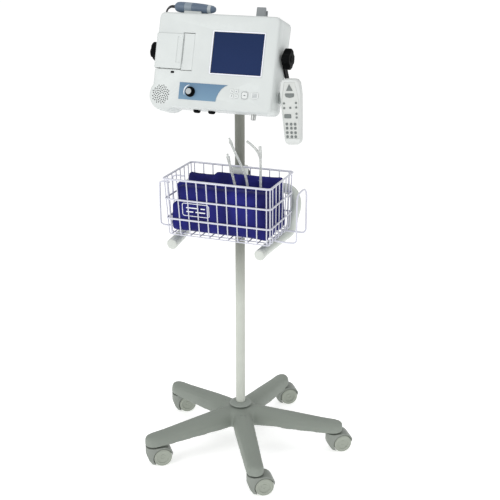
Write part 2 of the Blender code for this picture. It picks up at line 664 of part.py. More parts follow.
def inside_case(face):
    x, z, w, h = SCREEN
    lens = window(x - w / 2, x + w / 2, z - h / 2, z + h / 2, SCREEN_CORNER, 2.1, 3.9)
    make("screen_lens", lens, face, (0.02, 0.03, 0.12), 0.12)
    make("lcd_module", box((x - 70, 4.4, z - 52), (x + 70, 13, z + 52), 1), face, (0.2, 0.21, 0.2), 0.4)
    board = mesh_object("board", box((-48, 28, -62), (128, 29.6, 88)))
    for low, high in (((-30, 25, 10), (0, 28.5, 40)), ((20, 24.5, -10), (46, 28.5, 14)),
                      ((70, 22, 40), (112, 28.5, 58)), ((-40, 20, -52), (-14, 28.5, -40))):
        join(board, box(low, high))
    make("main_board", board, face, (0.02, 0.16, 0.07), 0.5)
    supply = mesh_object("supply", box((28, 36, -92), (124, 56, -18), 1.5))
    join(supply, box((40, 31.5, -80), (76, 37, -44)))
    make("power_supply", supply, face, (0.5, 0.5, 0.48), 0.4, 0.6)
    px, pz = LOBE[0] - 6.5, LOBE[1]
    driver = lathe([(0, 0.8), (18, 0.8), (20, 0), (22, 0), (22, 2.5), (19.5, 3), (13, 9), (13, 16),
                    (0, 16)], 24)
    make("speaker", moved(driver, along_y(px, SKIN + GAP, pz)), face, BLACK, 0.6)


def printer(face):
    left, right, bottom, top = BAY
    tray = mesh_object("tray", box((-137, 0.6, bottom + 1.4), (right - 0.6, 52, top - 1.4)))
    cut(tray, box((-134, -5, bottom + 5), (DOOR_RIGHT + 0.5, 49, top - 5)))
    cut(tray, box((-140, -5, bottom), (DOOR_RIGHT + 0.5, 5.4, top)))
    cut(tray, box((DOOR_RIGHT + 3, 15, bottom), (right, 60, top)))
    cut(tray, box((DOOR_RIGHT + 1.6, -5, bottom + 16), (DOOR_RIGHT + 2.6, 10, top - 4)))
    x, z = ROLL_AT[0], (bottom + top) / 2
    spindle = lathe([(0, -40), (7, -40), (7, 40), (0, 40)], 16)
    join(tray, moved(spindle, shift(x, ROLL_AT[1], z)))
    make("printer_mechanism", tray, face, WHITE, 0.5)
    spin = frame_at("axis_paper_spin", (x, ROLL_AT[1], z), face)
    half = (top - bottom) / 2 - 6
    roll = lathe([(7.3, -half), (ROLL_R, -half), (ROLL_R, half), (7.3, half)], 24, ring=True)
    make("paper_roll", roll, spin, (0.85, 0.84, 0.8), 0.8)
    hx, hy = DOOR_AXIS
    hinge = frame_at("axis_printer_door", (hx, hy, z), face)
    outer = [(DOOR_RIGHT - hx, -1.6 - hy), (-146 - hx, -1.6 - hy), (-149.6 - hx, -0.4 - hy),
             (-151.6 - hx, 3.0 - hy), (-151.8 - hx, 16 - hy)]
    inner = [(-149.4 - hx, 16 - hy), (-149.2 - hx, 4.2 - hy), (-148 - hx, 1.9 - hy),
             (-145 - hx, 1.2 - hy), (DOOR_RIGHT - hx, 1.2 - hy)]
    half = (top - bottom) / 2 - 3.4
    door = mesh_object("door", moved(prism(outer + inner, -half, half), turn(-90, "X")))
    join(door, box((-149.6 - hx, 8 - hy, -half), (-144.5 - hx, 15 - hy, -half + 12)))
    join(door, box((-149.6 - hx, 8 - hy, half - 12), (-144.5 - hx, 15 - hy, half)))
    groove = box((-13.5 + DOOR_RIGHT - hx, -5 - hy, -half + 14),
                 (DOOR_RIGHT - 0.6 - hx, -0.6 - hy, half - 6))
    cut(door, groove)
    make("printer_door", door, hinge, WHITE, 0.5)
    latch = frame_at("axis_door_latch", (LATCH_AT[0], 0, LATCH_AT[1]), face)
    make("door_latch", key_body((0, 0), LATCH_SIZE, 1.5, -0.8, 0.9), latch, BLACK, 0.5)


def controls(face):
    edge = [(-80, -49), (-80, -88), (13, -88), (14.5, -79), (18, -69), (24.5, -59), (32, -52.5),
            (39.5, -49)]
    film = mesh_object("film", prism(edge, -0.9, -GAP))
    cut(film, hole_y(*VOLUME_AT, 3.6, -3, 3, 12))
    make("control_overlay", film, face, PANEL_BLUE, 0.4)
    axis = frame_at("axis_volume_turn", (VOLUME_AT[0], -1.2, VOLUME_AT[1]), face)
    knob = lathe([(0, -9), (3, -9), (3, 0), (12, 0), (12, 1.5), (9.2, 3), (8.8, 10.2), (7.6, 11.4),
                  (0, 11.4)], 20)
    make("volume_knob", moved(knob, turn(90, "X")), axis, BLACK, 0.4)
    push = frame_at("axis_cursor_keys", (CURSOR_AT[0], 0, CURSOR_AT[1]), face)
    web = CURSOR_STEP + 5.6
    keys = mesh_object("keys", window(-web, web, -web, web, 3.0, SKIN + 1.7, SKIN + 2.8))
    for x in (-CURSOR_STEP, CURSOR_STEP):
        for z in (-CURSOR_STEP, CURSOR_STEP):
            join(keys, window(x - 4.6, x + 4.6, z - 4.6, z + 4.6, 3.0, -1.0, SKIN + 2.2))
    make("cursor_keys", keys, push, KEY_WHITE, 0.6)
    for name, at, size in (("select_key", SELECT_AT, SELECT_SIZE), ("print_key", PRINT_AT, PRINT_SIZE)):
        push = frame_at(f"axis_{name}", (at[0], 0, at[1]), face)
        make(name, key_body((0, 0), size, 5.0, -1.2, 1.5), push, KEY_WHITE, 0.6)


def bottom_sockets(face):
    low = CASE_LOW
    inner = low + SKIN + GAP
    plate = mesh_object("plate", box((-58, SOCKET_IN - 10, inner), (5, SOCKET_IN + 10, inner + 2.5)))
    for x in SOCKETS_X:
        barrel = lathe([(0, low - 6.5), (SOCKET_R - 3, low - 6.5), (SOCKET_R - 0.7, low - 4.8),
                        (SOCKET_R, low - 2.4), (SOCKET_R, inner + 1), (5, inner + 14),
                        (0, inner + 14)], 20)
        join(plate, moved(barrel, shift(x, SOCKET_IN)))
        cut(plate, moved(lathe([(0, low - 9), (4.6, low - 9), (4.6, low + 8), (0, low + 8)], 12),
                         shift(x, SOCKET_IN)))
    make("cuff_sockets", plate, face, BLACK, 0.5)
    plug = lathe([(0, low - 3), (3, low - 3), (3, low - 12), (4.6, low - 13), (CONNECTOR_R, low - 12),
                  (CONNECTOR_R, inner), (8.6, inner), (8.6, inner + 3), (4, inner + 10),
                  (0, inner + 10)], 20)
    make("probe_connector", moved(plug, shift(CONNECTOR_X, SOCKET_IN)), face, (0.6, 0.6, 0.62), 0.3, 1.0)


def probe(face):
    top = CASE_H / 2 + GAP
    rest = mesh_object("rest", box((-98, PROBE_IN - 10, top), (-54, PROBE_IN + 10, top + 7.5), 1.5))
    cut(rest, moved(lathe([(0, -45), (13, -45), (13, 45), (0, 45)], 28),
                    shift(-75, PROBE_IN, PROBE_UP) @ turn(PROBE_DIP, "Y")))
    make("probe_cradle", rest, face, WHITE, 0.5)
    lift = frame_at("axis_probe_lift", (-75, PROBE_IN, PROBE_UP), face)
    body = lathe([(0, -51), (4, -51), (8, -49), (11.4, -44), (12.5, -37), (12.6, -22), (12.1, 4),
                  (11.2, 24), (9.8, 38), (8.2, 46), (5.6, 51.5), (2.5, 53), (0, 53)], 24)
    make("doppler_probe", moved(body, turn(PROBE_DIP, "Y")), lift, (0.30, 0.36, 0.40), 0.45)
    x, z = PEG_AT
    ring_y = case_back(z) + 2 + COIL_HALF
    rx = x + (COIL_R + 7) * cos(radians(140))
    rz = z + (COIL_R + 7) * sin(radians(140))
    route = smooth([(-126.4, 30, 129.5), (-137, 30, 129), (-147, 36, 125), (-155, 46, 116),
                    (-158.5, 60, 104), (-158.5, 76, 94), (-147, 91, 86), (-122, 94, 77),
                    (rx - 2.3, ring_y + 2, rz + 2.3)], 7)
    tube("probe_cable", route, CABLE_R, face, BLACK, 0.5, sides=2)
    section = [(COIL_R + 6.6 * cos(radians(a)), COIL_HALF * sin(radians(a))) for a in range(0, 360, 60)]
    coil = moved(lathe(section, 22, ring=True), along_y(x, ring_y, z))
    make("probe_cable_coil", coil, face, BLACK, 0.5)
    bx, bz = x - 44, z - 34
    sx = x + (COIL_R + 9.4) * cos(radians(205))
    sz = z + (COIL_R + 9.4) * sin(radians(205))
    tail = smooth([(sx, ring_y, sz), (sx - 6, ring_y + 4, sz - 1), (bx, case_back(bz) + 19, bz + 4),
                   (bx, case_back(bz) + 14, bz), (bx, case_back(bz) + 3.6, bz)], 6)
    tube("probe_cable_tail", tail, CABLE_R, face, BLACK, 0.5, sides=2)
    clip = [(51, top), (30, top), (30, 134.5)] + arc(32.5, 134.5, 2.5, 150, 90, 2)
    clip += arc(35, 134.5, 2.5, 90, 0, 3) + [(37.5, 121), (40.5, 118.5), (43.5, 121)]
    clip += arc(46, 129.5, 2.5, 180, 90, 3) + arc(48.5, 129.5, 2.5, 90, 0, 3)
    along = turn(90, "Z") @ Matrix.Diagonal((1, -1, 1, 1))
    make("accessory_clip", moved(prism(clip, 78, 99), along), face, (0.42, 0.44, 0.42), 0.5)


# ---------------------------------------------------------------- yoke, clamp knobs and remote

def strip(points, half):
    """Outline of a band of even width along a run of points."""
    points = [Vector(p) for p in points]
    sides = ([], [])
    for i, p in enumerate(points):
        before = (p - points[i - 1]).normalized() if i else None
        after = (points[i + 1] - p).normalized() if i + 1 < len(points) else before
        before = before or after
        along = (before + after).normalized()
        across = Vector((-along.y, along.x))
        reach = half / across.dot(Vector((-before.y, before.x)))
        sides[0].append(p + across * reach)
        sides[1].append(p - across * reach)
    return [tuple(p) for p in sides[0] + sides[1][::-1]]


def yoke(stand, tilt_at):
    """A flat bar bent to a U behind the case, on a socket that caps the pole."""
    arm = [tilt_at, (-87, 1031), (-62, 1005), (YOKE_BAR_Y, YOKE_BAR_Z)]
    way = atan2(tilt_at[1] - arm[1][1], tilt_at[0] - arm[1][0]) * 180 / pi
    outline = arc(*tilt_at, 8.5, way - 90, way + 90, 8) + strip(arm, 8.5)[::-1][1:-1]
    side = ARM_OUT - ARM_IN
    bar = mesh_object("bar", box((-ARM_OUT + 1, YOKE_BAR_Y - side, YOKE_BAR_Z - 8.5),
                                 (ARM_OUT - 1, YOKE_BAR_Y, YOKE_BAR_Z + 8.5)))
    for sign in (1, -1):
        flat = prism(outline, min(sign * ARM_IN, sign * ARM_OUT),
                     max(sign * ARM_IN, sign * ARM_OUT))
        join(bar, moved(flat, turn(90, "Z") @ Matrix.Diagonal((1, -1, 1, 1))))
        cut(bar, moved(lathe([(0, -5), (4.8, -5), (4.8, 9), (0, 9)], 16),
                       along_x(min(sign * ARM_IN, sign * ARM_OUT), *tilt_at)))
    join(bar, lathe([(0, 974), (17, 974), (18, 975), (18, 1014), (16.5, 1016), (0, 1016)], 20))
    cut(bar, lathe([(0, 960), (POLE_R + GAP, 960), (POLE_R + GAP, POLE_TOP + 0.6),
                    (0, POLE_TOP + 0.6)], 24))
    make("tilt_yoke", bar, stand, BLACK, 0.45)


def clamp_knobs(stand, tilt_at):
    """Four-lobed hand knobs, each with a stud through the arm into the case."""
    for name, sign, radius in KNOBS:
        axis = frame_at(f"axis_tilt_knob_{name}", (sign * (ARM_OUT + GAP), *tilt_at), stand)
        knob = mesh_object("knob", lathe([(0, 0), (radius - 5, 0), (radius, 3), (radius, KNOB_THICK - 3),
                                          (radius - 4, KNOB_THICK), (0, KNOB_THICK)], 36))
        for k in range(4):
            groove = lathe([(0, -2), (14, -2), (14, 24), (0, 24)], 24)
            cut(knob, moved(groove, turn(90 * k + 45 + KNOB_REST, "Z") @ shift(radius + 7.3)))
        join(knob, lathe([(0, -12.5), (4, -12.5), (4, 1), (0, 1)], 12))
        knob.data.transform(turn(90 * sign, "Y"))
        make(f"tilt_knob_{name}", knob, axis, BLACK, 0.45)


def remote_outline(inset):
    right = [(w - inset, z - inset * z / 75) for z, w in REMOTE_EDGE]
    return right + [(-x, z) for x, z in reversed(right)]


def remote(stand):
    lift = frame_at("axis_remote_lift", REMOTE_AT, stand, (0, REMOTE_LEAN, 0))
    deep = REMOTE_DEEP / 2
    rings = [[(x, y, z) for x, z in remote_outline(inset)]
             for inset, y in ((5, -deep), (1.5, -deep + 1.2), (0, -deep + 4), (0, deep - 6), (2, deep - 2),
                              (5, deep))]
    body = mesh_object("body", loft(rings))
    seat = [(x * (1 + 0.4 / abs(x)), z * (1 + 0.4 / abs(z))) for x, z in PAD_EDGE]
    cut(body, prism(seat, -deep - 1, -deep + 2))
    join(body, box((-8, deep - 1, 6), (8, deep + 5, 34), 1))
    cut(body, box((-5.4, deep + 0.8, 0), (5.4, deep + 3.4, 32)))
    cut(body, box((-3.2, deep + 1, 0), (3.2, deep + 8, 30)))
    make("remote_case", body, lift, WHITE, 0.5)
    pad = mesh_object("pad", prism(PAD_EDGE, -deep + 0.6, -deep + 1.7))
    keys = [[(-8.8, 48), (6.8, 48), (-1, 63)],
            [(-12, 39), (-11, 42.1), (9, 42.1), (10, 39), (8, 34), (-1, 32.2), (-10, 34)],
            rounded(-16.3, 0.1, -14.2, -4.8, 1.5, 2)]
    keys += [rounded(x - 2.3, x + 2.3, z - 2.3, z + 2.3, 1.2, 2) for x, z in SMALL_KEYS]
    keys += [rounded(x - 2.8, x + 2.8, z - 3, z + 3, 1.2, 1)
             for z in (-27.7, -37, -47.3, -56.6) for x in (-11.2, -1, 8.5)]
    for key in keys:
        join(pad, prism(key, -deep - 0.8, -deep + 1.1))
    make("remote_keypad", pad, lift, LIGHT_GREY, 0.7)


def holster(stand):
    """A foot on the case side, an arm behind the handset and a tongue in its back."""
    side = CASE_W / 2 + GAP
    back = REMOTE_AT[1] + REMOTE_DEEP / 2
    arm = mesh_object("arm", box((side, back + 4, 985), (side + 3, back + 16, 1010), 1))
    join(arm, box((side + 1, back + 6.2, 986), (REMOTE_AT[0] + 9, back + 9.2, 1009)))
    hang = shift(*REMOTE_AT) @ turn(REMOTE_LEAN, "Y")
    deep = REMOTE_DEEP / 2
    join(arm, moved(box((-4.9, deep + 1.3, 3), (4.9, deep + 2.9, 31.4)), hang))
    join(arm, moved(box((-2.7, deep + 2.4, 3), (2.7, deep + 8, 29.4)), hang))
    make("remote_holster", arm, stand, WHITE, 0.5)


def build():
    clear_scene()
    stand = frame_at("stand", (*POLE_AT, 0))
    base_star(stand)
    casters(stand)
    pole(stand)
    basket(stand)
    bracket(stand)
    handle(stand)
    hooks(stand)
    cuffs(stand)
    hoses(stand)
    lean = radians(LEAN)
    tilt_at = (FACE_AT[0] + TILT_UP * sin(lean) + TILT_IN * cos(lean),
               FACE_AT[1] + TILT_UP * cos(lean) - TILT_IN * sin(lean))
    tilt = frame_at("axis_console_tilt", (0, *tilt_at), stand, (-LEAN, 0, 0))
    face = frame_at("face", (0, -TILT_IN, -TILT_UP), tilt)
    front_shell(face)
    rear_shell(face)
    inside_case(face)
    printer(face)
    controls(face)
    bottom_sockets(face)
    probe(face)
    yoke(stand, tilt_at)
    clamp_knobs(stand, tilt_at)
    remote(stand)
    holster(stand)


build()
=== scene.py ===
"""Looks for a vascular patient monitor on its roll stand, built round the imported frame.

Lengths are in metres. Points written in millimetres go through `st` (measured from the pole's
axis on the floor) or `fc` (measured from the middle of the console's face: across, into the
case, up the face).
"""

from math import atan2, cos, pi, radians, sin

import bmesh
import bpy
from mathutils import Matrix, Vector, noise


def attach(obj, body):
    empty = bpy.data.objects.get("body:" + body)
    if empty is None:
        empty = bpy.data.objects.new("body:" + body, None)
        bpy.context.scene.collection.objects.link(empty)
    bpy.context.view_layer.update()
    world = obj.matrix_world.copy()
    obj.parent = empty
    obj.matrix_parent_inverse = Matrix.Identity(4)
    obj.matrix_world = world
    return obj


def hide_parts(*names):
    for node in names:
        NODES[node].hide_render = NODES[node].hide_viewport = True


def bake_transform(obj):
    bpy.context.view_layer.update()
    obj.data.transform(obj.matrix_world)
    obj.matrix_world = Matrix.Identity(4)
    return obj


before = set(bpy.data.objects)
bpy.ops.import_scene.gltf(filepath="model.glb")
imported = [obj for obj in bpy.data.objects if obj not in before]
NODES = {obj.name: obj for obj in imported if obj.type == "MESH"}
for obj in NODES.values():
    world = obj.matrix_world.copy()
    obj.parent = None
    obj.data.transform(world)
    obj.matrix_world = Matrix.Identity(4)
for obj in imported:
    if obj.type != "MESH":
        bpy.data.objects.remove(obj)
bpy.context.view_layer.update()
SCENE = bpy.context.scene

MM = 0.001
POLE = Vector((-0.0226, -0.0255, 0.0))
FACE = Vector((-0.0226, -0.1846, 1.0735))
LEAN = radians(17.84)
FACE_FRAME = Matrix.Translation(FACE) @ Matrix.Rotation(-LEAN, 4, "X")
REMOTE_FRAME = (Matrix.Translation(POLE + Vector((188.5, -154.0, 974.5)) * MM)
                @ Matrix.Rotation(radians(-4.0), 4, "Y"))


def st(x, y, z):
    return POLE + Vector((x, y, z)) * MM


def fc(x, depth, up):
    return FACE_FRAME @ (Vector((x, depth, up)) * MM)


def linked(name, data):
    """A new object in the scene."""
    thing = bpy.data.objects.new(name, data)
    SCENE.collection.objects.link(thing)
    return thing


# ---------------------------------------------------------------- camera

camera = linked("camera", bpy.data.cameras.new("camera"))
SCENE.camera = camera
camera.location = st(901.3, -2303.1, 1450.5)
camera.rotation_euler = (radians(90 - 19.7), 0, radians(20.78))
camera.data.sensor_width = 36.0
camera.data.lens = 72.81
camera.data.clip_end = 30.0


# ---------------------------------------------------------------- mesh tools

def smooth(points, step):
    """Points about one step apart on a Catmull-Rom curve through the given points."""
    knots = [Vector(p) for p in points]
    knots = [2 * knots[0] - knots[1]] + knots + [2 * knots[-1] - knots[-2]]
    route = [knots[1]]
    for a, b, c, d in zip(knots, knots[1:], knots[2:], knots[3:]):
        count = max(1, round((c - b).length / step))
        for i in range(1, count + 1):
            t = i / count
            route.append(0.5 * (2 * b + (c - a) * t + (2 * a - 5 * b + 4 * c - d) * t ** 2
                                + (3 * b - a - 3 * c + d) * t ** 3))
    return route


def sweep(bm, route, radius, sides=12, closed=False, girth=None):
    """Skin a round bar of the given radius along a route, with closed ends or closed on itself."""
    route = [Vector(p) for p in route]
    count = len(route)
    tangents = []
    for i in range(count):
        before = route[i - 1] if i or closed else route[i]
        after = route[(i + 1) % count] if i + 1 < count or closed else route[i]
        tangents.append((after - before).normalized())
    across = tangents[0].orthogonal().normalized()
    rings, frames = [], []
    for i, tangent in enumerate(tangents):
        if i:
            across = tangents[i - 1].rotation_difference(tangent) @ across
        across = (across - tangent * across.dot(tangent)).normalized()
        frames.append((across.copy(), tangent.cross(across)))
    twist = 0.0
    if closed:
        last = tangents[-1].rotation_difference(tangents[0]) @ frames[-1][0]
        first, side = frames[0]
        twist = -atan2(last.dot(side), last.dot(first))
    for i, (u, v) in enumerate(frames):
        r = radius * (girth[i] if girth else 1.0)
        turn = twist * i / count
        ring = []
        for k in range(sides):
            a = 2 * pi * k / sides + turn
            ring.append(bm.verts.new(route[i] + (u * cos(a) + v * sin(a)) * r))
        rings.append(ring)
    pairs = list(zip(rings, rings[1:])) + ([(rings[-1], rings[0])] if closed else [])
    for near, far in pairs:
        for k in range(sides):
            j = (k + 1) % sides
            bm.faces.new((near[k], near[j], far[j], far[k]))
    if not closed:
        bm.faces.new(rings[0][::-1])
        bm.faces.new(rings[-1])


def lathe(bm, profile, matrix, segments=48):
    """Turn (radius, height) points about Z; points on the axis close the ends."""
    rings = []
    for r, z in profile:
        if r < 1e-9:
            rings.append([bm.verts.new(matrix @ Vector((0, 0, z)))])
            continue
        ring = [bm.verts.new(matrix @ Vector((r * cos(2 * pi * k / segments),
                                              r * sin(2 * pi * k / segments), z)))
                for k in range(segments)]
        rings.append(ring)
    for near, far in zip(rings, rings[1:]):
        for k in range(segments):
            j = (k + 1) % segments
            if len(near) == 1:
                bm.faces.new((near[0], far[j], far[k]))
            elif len(far) == 1:
                bm.faces.new((near[k], near[j], far[0]))
            else:
                bm.faces.new((near[k], near[j], far[j], far[k]))


def lathe_mm(bm, profile, matrix, segments=48):
    """The same from a profile in millimetres."""
    lathe(bm, [(r * MM, z * MM) for r, z in profile], matrix, segments)


def slab(bm, outline, matrix, low, high):
    """An outline in X and Z run along Y."""
    rows = [[bm.verts.new(matrix @ Vector((x * MM, y * MM, z * MM))) for x, z in outline]
            for y in (low, high)]
    bm.faces.new(rows[0])
    bm.faces.new(rows[1][::-1])
    for k in range(len(outline)):
        j = (k + 1) % len(outline)
        bm.faces.new((rows[0][k], rows[1][k], rows[1][j], rows[0][j]))


def arc(x, z, radius, start, end, steps):
    angles = [radians(start + (end - start) * i / steps) for i in range(steps + 1)]
    return [(x + radius * cos(a), z + radius * sin(a)) for a in angles]


def rounded(left, right, bottom, top, radius, steps=5):
    corners = ((left + radius, bottom + radius, 180), (right - radius, bottom + radius, 270),
               (right - radius, top - radius, 0), (left + radius, top - radius, 90))
    points = []
    for x, z, start in corners:
        points += arc(x, z, radius, start, start + 90, steps)
    return points


def centred(x, z, half_wide, half_high, radius, steps=5):
    return rounded(x - half_wide, x + half_wide, z - half_high, z + half_high, radius, steps)


def band(bm, line, matrix, width, low, high, closed=True):
    """A flat printed or moulded line of even width that follows a run of (x, z) points."""
    line = [Vector(p) for p in line]
    count = len(line)
    left, right = [], []
    for i, p in enumerate(line):
        before = line[i - 1] if i or closed else p
        after = line[(i + 1) % count] if i + 1 < count or closed else p
        along = (after - before).normalized()
        across = Vector((-along.y, along.x)) * width / 2
        left.append(p + across)
        right.append(p - across)
    ends = count if closed else count - 1

    def place(p, y):
        return bm.verts.new(matrix @ Vector((p.x * MM, y * MM, p.y * MM)))

    rows = [[place(p, y) for p in run] for run, y in ((left, low), (right, low),
                                                      (right, high), (left, high))]
    for i in range(ends):
        j = (i + 1) % count
        for a, b in zip(rows, rows[1:] + rows[:1]):
            bm.faces.new((a[i], a[j], b[j], b[i]))
    if not closed:
        bm.faces.new([row[0] for row in rows][::-1])
        bm.faces.new([row[-1] for row in rows])


def shade(mesh, angle=35):
    mesh.polygons.foreach_set("use_smooth", [True] * len(mesh.polygons))
    mesh.set_sharp_from_angle(angle=radians(angle))


def piece(name, bm, body, material, replaced=(), angle=35):
    """Make a visible piece from a mesh, on its CAD body and in its material slot."""
    bmesh.ops.recalc_face_normals(bm, faces=bm.faces)
    mesh = bpy.data.meshes.new(name)
    bm.to_mesh(mesh)
    bm.free()
    shade(mesh, angle)
    thing = linked(name, mesh)
    mesh.materials.append(material)
    if body:
        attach(thing, body)
    if replaced:
        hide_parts(*replaced)
    return thing


def from_node(node):
    """A CAD node's mesh, stitched together, with its flat faces whole again."""
    bm = bmesh.new()
    bm.from_mesh(NODES[node].data)
    bmesh.ops.remove_doubles(bm, verts=bm.verts, dist=2e-6)
    bmesh.ops.dissolve_limit(bm, angle_limit=radians(0.6), verts=bm.verts, edges=bm.edges)
    plain = bmesh.new()
    verts = {v: plain.verts.new(v.co) for v in bm.verts}
    for face in bm.faces:
        plain.faces.new([verts[v] for v in face.verts])
    bm.free()
    return plain


def applied(thing):
    """Keep what the modifiers make as the mesh."""
    seen = thing.evaluated_get(bpy.context.evaluated_depsgraph_get())
    mesh = bpy.data.meshes.new_from_object(seen)
    thing.modifiers.clear()
    thing.data = mesh
    return thing


def remeshed(thing, cell):
    """Rebuild the mesh from even cells."""
    even = thing.modifiers.new("even", "REMESH")
    even.mode = "VOXEL"
    even.voxel_size = cell
    applied(thing)


def part_of(value):
    """A value held between 0 and 1."""
    return min(1.0, max(0.0, value))


def softened(name, node, body, material, width=0.4, cutters=(), segments=2, angle=32):
    """The CAD node again with its edges rounded off, as any moulded or cast piece has them."""
    thing = piece(name, from_node(node), None, material)
    for cutter in cutters:
        mesh = bpy.data.meshes.new("cutter")
        bmesh.ops.recalc_face_normals(cutter, faces=cutter.faces)
        cutter.to_mesh(mesh)
        cutter.free()
        tool = linked("cutter", mesh)
        cut = thing.modifiers.new("holes", "BOOLEAN")
        cut.operation = "DIFFERENCE"
        cut.object = tool
        applied(thing)
        bpy.data.objects.remove(tool, do_unlink=True)
    edge = thing.modifiers.new("edge", "BEVEL")
    edge.width = width * MM
    edge.segments = segments
    edge.limit_method = "ANGLE"
    edge.angle_limit = radians(angle)
    applied(thing)
    shade(thing.data, 40)
    level = thing.modifiers.new("level", "WEIGHTED_NORMAL")
    level.keep_sharp = True
    applied(thing)
    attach(thing, body)
    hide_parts(node)
    return thing


# ---------------------------------------------------------------- materials

class Look:
    """A material under construction: nodes are added and linked by short calls."""

    def __init__(self, name, colour, roughness, metallic=0.0):
        self.material = bpy.data.materials.new(name)
        self.material.use_nodes = True
        self.tree = self.material.node_tree
        self.shader = self.tree.nodes["Principled BSDF"]
        self.place = self.tree.nodes.new("ShaderNodeTexCoord").outputs["Object"]
        self.put("Base Color", (*colour, 1.0))
        self.put("Roughness", roughness)
        self.put("Metallic", metallic)
        self.height = None

    def put(self, socket, value):
        self.shader.inputs[socket].default_value = value
        return self

    def node(self, kind, links=(), **values):
        made = self.tree.nodes.new(kind)
        for key, value in values.items():
            setattr(made, key, value)
        for socket, value in links:
            if isinstance(value, bpy.types.NodeSocket):
                self.tree.links.new(value, made.inputs[socket])
            else:
                made.inputs[socket].default_value = value
        return made

    def noise(self, scale, detail=3.0, roughness=0.55):
        return self.node("ShaderNodeTexNoise", (("Vector", self.place), ("Scale", scale),
                                                ("Detail", detail), ("Roughness", roughness))
                         ).outputs["Fac"]

    def span(self, value, low, high, start=0.3, end=0.7):
        links = ((0, value), (1, start), (2, end), (3, low), (4, high))
        return self.node("ShaderNodeMapRange", links).outputs[0]

    def blend(self, factor, first, second):
        made = self.node("ShaderNodeMix", data_type="RGBA")
        self.tree.links.new(factor, made.inputs[0])
        for socket, value in ((6, first), (7, second)):
            if isinstance(value, bpy.types.NodeSocket):
                self.tree.links.new(value, made.inputs[socket])
            else:
                made.inputs[socket].default_value = (*value, 1.0)
        return made.outputs[2]

    def math(self, operation, a, b=0.0):
        return self.node("ShaderNodeMath", ((0, a), (1, b)), operation=operation).outputs[0]

    def base(self, socket):
        self.tree.links.new(socket, self.shader.inputs["Base Color"])
        return self

    def dull(self, socket):
        self.tree.links.new(socket, self.shader.inputs["Roughness"])
        return self

    def bump(self, height, strength, distance=0.0002):
        links = [("Height", height), ("Strength", strength), ("Distance", distance)]
        if self.height is not None:
            links.append(("Normal", self.height))
        self.height = self.node("ShaderNodeBump", links).outputs["Normal"]
        self.tree.links.new(self.height, self.shader.inputs["Normal"])
        return self


def tinted(colour, factor):
    return tuple(min(1.0, c * factor) for c in colour)


def moulded(name, colour, roughness, grain=900.0, grain_depth=0.25, wear=1.12, coat=0.0,
            gloss=0.5):
    """Moulded plastic: fine spark grain, faint handling marks and slightly paler worn edges."""
    look = Look(name, colour, roughness)
    mottled = look.blend(look.span(look.noise(7.0), 0.0, 1.0), tinted(colour, 0.96),
                         tinted(colour, 1.03))
    edge = look.node("ShaderNodeNewGeometry").outputs["Pointiness"]
    worn = look.span(edge, 0.0, 0.6, 0.53, 0.62)
    scuffs = look.math("MULTIPLY", worn, look.span(look.noise(140.0, 4.0), 0.2, 1.0))
    look.base(look.blend(scuffs, mottled, tinted(colour, wear)))
    look.dull(look.span(look.noise(38.0, 4.0), roughness - 0.06, roughness + 0.08))
    look.bump(look.noise(grain, 2.0), grain_depth, 0.00006)
    look.put("Coat Weight", coat)
    look.put("Coat Roughness", 0.2)
    look.put("Specular IOR Level", gloss)
    return look.material


def powder_coat(name, colour, roughness, coat=0.25):
    """Powder coat: soft orange peel over steel, with chips too small to show their metal."""
    look = Look(name, colour, roughness)
    look.base(look.blend(look.span(look.noise(5.0), 0.0, 1.0), tinted(colour, 0.97),
                         tinted(colour, 1.02)))
    look.dull(look.span(look.noise(55.0, 4.0), roughness - 0.05, roughness + 0.08))
    look.bump(look.noise(420.0, 2.0), 0.35, 0.00012)
    look.put("Coat Weight", coat)
    look.put("Coat Roughness", 0.18)
    return look


def pole_look():
    """Coated tube: painted shade makes the upper length greyer, for the shadow under the basket and
    console, and it pales below the basket.
    """
    look = powder_coat("pole_paint", (0.5, 0.52, 0.46), 0.36, 0.1)
    up = look.node("ShaderNodeSeparateXYZ", ((0, look.place),)).outputs["Z"]
    # Painted shade: from 0.42 m up to 0.60 m the tube turns to the darker colour, for the shadow
    # under the basket and console.
    fade = look.span(up, 0.0, 1.0, 0.42, 0.60)
    streaks = look.span(look.noise(26.0, 4.0), 0.0, 1.0)
    low = look.blend(streaks, (0.54, 0.57, 0.51), (0.58, 0.61, 0.55))
    high = look.blend(streaks, (0.20, 0.21, 0.175), (0.23, 0.24, 0.205))
    look.base(look.blend(fade, low, high))
    return look.material


CASE = (0.62, 0.655, 0.645)
case_white = moulded("case_white", CASE, 0.42, coat=0.12)
# The case white at 0.9; on the probe saddle it stands as painted shade.
case_darker = moulded("case_darker", tinted(CASE, 0.9), 0.55)
# Painted highlight: pale lavender white for the lit chamfer round the display window.
frame_highlight = moulded("frame_highlight", (0.82, 0.83, 0.90), 0.4, coat=0.15)
base_grey = moulded("base_grey", (0.255, 0.283, 0.25), 0.55, 650.0, 0.35, gloss=0.35)
hub_grey = moulded("hub_grey", (0.28, 0.31, 0.28), 0.5)
caster_grey = moulded("caster_grey", (0.24, 0.262, 0.235), 0.42)
black = moulded("black_moulding", (0.0025, 0.003, 0.0035), 0.55, wear=2.2, gloss=0.05)
yoke_black = moulded("yoke_black", (0.004, 0.004, 0.005), 0.55, 420.0, gloss=0.08)
pole_paint = pole_look()
